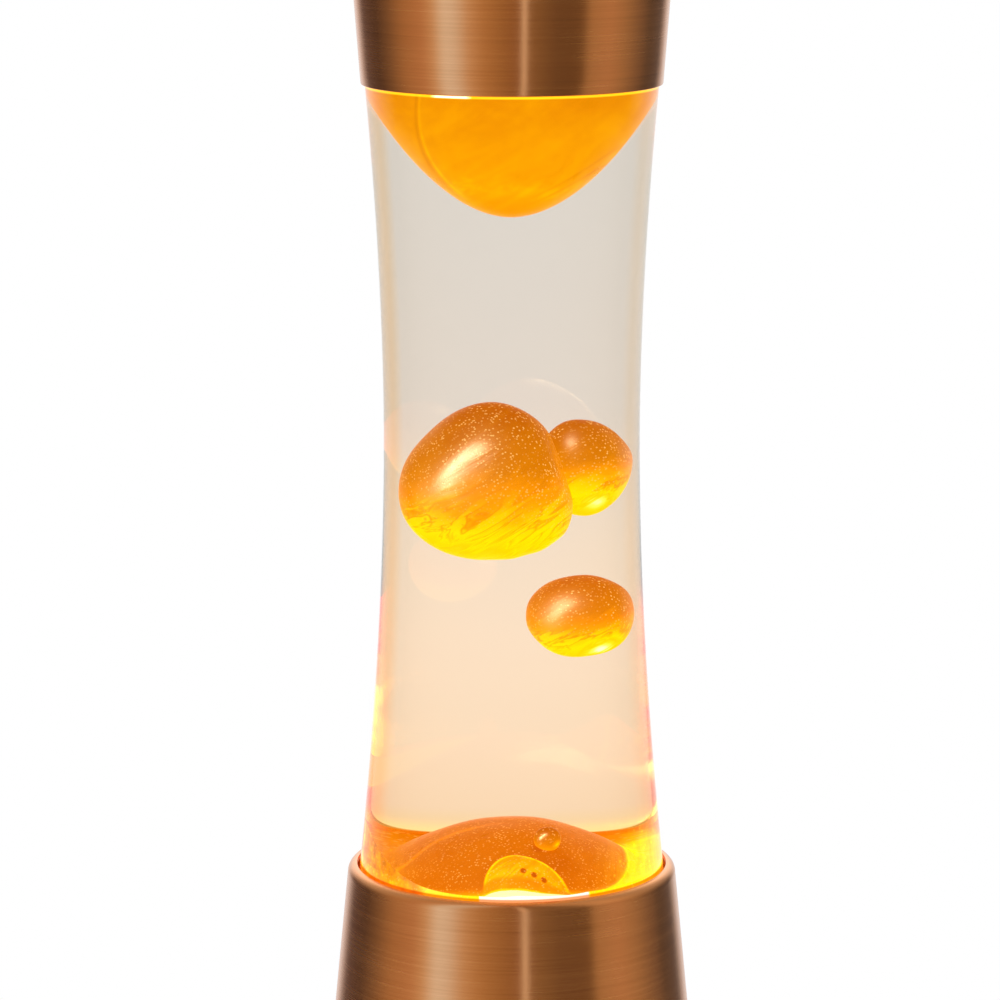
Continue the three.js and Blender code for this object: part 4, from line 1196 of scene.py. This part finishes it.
# Studio light round the lamp as glossy surfaces see it: azimuth from the front (degrees, positive to the
# right) and the colour there. A pale tall lamp stands at the left front, dim walls elsewhere, white behind.
STUDIO_BANDS = [
    (-180, (1.0, 1.0, 1.0)), (-158, (0.8, 0.82, 0.85)), (-142, (0.12, 0.10, 0.11)),
    (-119, (0.075, 0.06, 0.06)), (-104, (0.20, 0.165, 0.14)), (-88, (0.42, 0.33, 0.25)),
    (-70, (0.55, 0.43, 0.37)), (-61, (0.68, 0.68, 0.68)), (-52, (0.84, 1.24, 2.1)), (-44, (0.78, 1.10, 1.8)),
    (-33, (0.64, 0.62, 0.62)), (-22, (0.50, 0.41, 0.30)), (-9, (0.38, 0.30, 0.20)), (6.8, (0.26, 0.17, 0.10)),
    (8.2, (1.1, 1.4, 2.0)), (9.8, (1.1, 1.4, 2.0)), (11.2, (0.27, 0.21, 0.16)), (20, (0.235, 0.20, 0.15)),
    (33, (0.155, 0.125, 0.10)), (54, (0.135, 0.105, 0.075)), (59.5, (0.42, 0.37, 0.31)),
    (78, (0.52, 0.42, 0.37)), (92, (0.40, 0.35, 0.29)), (106, (0.25, 0.22, 0.20)), (122, (0.105, 0.10, 0.10)),
    (142, (0.12, 0.12, 0.13)), (158, (0.75, 0.78, 0.8)), (180, (1.0, 1.0, 1.0)),
]

# Extra light from higher up, as the base's wall sees it, by azimuth; it is whole at this rise
RAISED_LIGHT = [
    (-180, 0.8), (-135, 0.50), (-112, 0.36), (-80, 0.07), (-45, -0.02), (-10, 0.0), (7, 0.0), (8.5, 0.6),
    (10, 0.0), (20, 0.03), (50, 0.11), (70, 0.19), (105, 0.23), (135, 0.45), (180, 0.8),
]
RAISED_RISE = 0.44

# What glass and liquid mirror and bend: a dark room in front, white behind
FRONT_DIM = [(-180, 1.0), (-145, 0.92), (-106, 0.02), (106, 0.02), (145, 0.92), (180, 1.0)]

# A long strip of light at the left front, for the highlight on the wax
KEY_PLACE = (-0.75, -0.85, 0.75)
KEY_TARGET = (0, 0, 0.24)
KEY_SIZE = (0.24, 1.8)
KEY_POWER = 1850.0
KEY_COLOUR = (1.0, 0.94, 0.70)
KEY_ROLL = -40  # degrees

FLOOR_RADIUS = 310
FLOOR_FADE = (160, 300)


def studio_world():
    """White surroundings for the eye and for soft light, and the studio for mirrored rays."""
    world = bpy.data.worlds.new("studio")
    bpy.context.scene.world = world
    world.use_nodes = True
    n = Nodes(world.node_tree)
    x, y, z = n.split(n.add("TexCoord").outputs["Generated"])
    azimuth = n.math("ARCTAN2", x, n.times(y, -1.0))
    share = n.span(azimuth, -math.pi, math.pi)

    def round_ramp(stops):
        return n.ramp(share, [(degrees / 360 + 0.5, colour) for degrees, colour in stops])

    rise = n.span(z, 0.0, RAISED_RISE)
    studio = n.blend(rise, round_ramp(STUDIO_BANDS), round_ramp(RAISED_LIGHT), mode="ADD")
    path = n.add("LightPath").outputs
    sharp = n.math("MAXIMUM", path["Is Singular Ray"], path["Is Transmission Ray"])
    mirrored = n.math("MINIMUM", path["Glossy Depth"], 1.0)
    colour = n.blend(mirrored, rgb(1, 1, 1), n.blend(sharp, studio, round_ramp(FRONT_DIM)))
    n.link(colour, world.node_tree.nodes["Background"].inputs["Color"])


def pale_floor():
    """A small pale disc that fades into the white surroundings."""
    s = Shader("pale_floor", Roughness=0.7)
    grain = s.noise(s.place, scale=220.0, detail=3.0)
    s.set("Base Color", s.ramp(grain, [(0.3, 0.90), (0.7, 0.93)]))
    s.set("Alpha", s.reach(s.length(s.place), *FLOOR_FADE, 1.0, 0.0, smooth=True))
    lathe("floor", [(0, 0), (FLOOR_RADIUS, 0)], s.material, segments=ROUND_MEDIUM)


def key_lamp():
    """The strip light. It returns the collection of the pieces that it lights."""
    light = bpy.data.lights.new("key_light", "AREA")
    light.shape = "RECTANGLE"
    light.size, light.size_y = KEY_SIZE
    light.energy = KEY_POWER
    light.color = KEY_COLOUR
    lamp = bpy.data.objects.new("key_light", light)
    bpy.context.scene.collection.objects.link(lamp)
    lamp.location = KEY_PLACE
    aim = (Vector(KEY_TARGET) - Vector(KEY_PLACE)).to_track_quat("-Z", "Y").to_matrix().to_4x4()
    lamp.rotation_euler = (aim @ Matrix.Rotation(math.radians(KEY_ROLL), 4, "Z")).to_euler()
    lamp.visible_camera = False
    lamp.visible_diffuse = False
    lit = bpy.data.collections.new("key_light_lights")
    lamp.light_linking.receiver_collection = lit
    return lit


def studio_camera():
    camera = bpy.data.objects.new("camera", bpy.data.cameras.new("camera"))
    bpy.context.scene.collection.objects.link(camera)
    camera.data.lens = LENS
    camera.data.sensor_width = SENSOR
    camera.data.clip_end = 20
    camera.location = CAMERA_PLACE
    camera.rotation_euler = (math.radians(90 - CAMERA_PITCH), 0, 0)
    bpy.context.scene.camera = camera


# ---------------------------------------------------------------- assembly

scene = bpy.context.scene
scene.view_settings.view_transform = "Standard"
scene.cycles.transparent_max_bounces = 24
studio_camera()
studio_world()
pale_floor()
lit_by_key = key_lamp()

finishes = {"copper_finish": copper_finish(), "bulb_glass": lit_bulb_glass()}
for finish, values in METALS.items():
    finishes[finish] = plated_metal(finish, *values)
for finish, values in MOULDED.items():
    finishes[finish] = moulded_plastic(finish, *values)

base_shell(finishes["copper_finish"])
top_cap(finishes["copper_finish"])
glass_bottle(clear_glass("glass_outer", GLASS_IOR, lip=True),
             clear_glass("glass_wet", GLASS_IOR / LIQUID_IOR, carried_light),
             clear_glass("glass_dry", GLASS_IOR))
liquid_body(clear_liquid())
for blob in BLOBS:
    lit_by_key.objects.link(floating_wax(*blob))
pool_wax = orange_wax("glow_wax_pool", pool_light, streaks=0.6, flecks=0.6, redness=0.35)
lit_by_key.objects.link(wax_pool(pool_wax))
wax_dome(orange_wax("glow_wax_dome", dome_light, streaks=0.3, flecks=0.05))

seat_ring(finishes["zinc_steel"])
bottom_cover(finishes["zinc_steel"])
for index in range(4):
    rubber_foot(f"rubber_foot_{index + 1}", finishes["black_rubber"])
cable_grommet(finishes["black_rubber"])
bulb_envelope(finishes["bulb_glass"])
crown_cap(finishes["tinned_steel"])
heat_coil(finishes["tinned_steel"])
holder_body(finishes["holder_plastic"])

# The small pieces that keep their CAD meshes take their finish by slot.
for entry in frame["record"]["subparts"]:
    if entry["material_slot"] in finishes:
        for material_slot in frame["nodes"][entry["node"]].material_slots:
            material_slot.material = finishes[entry["material_slot"]]
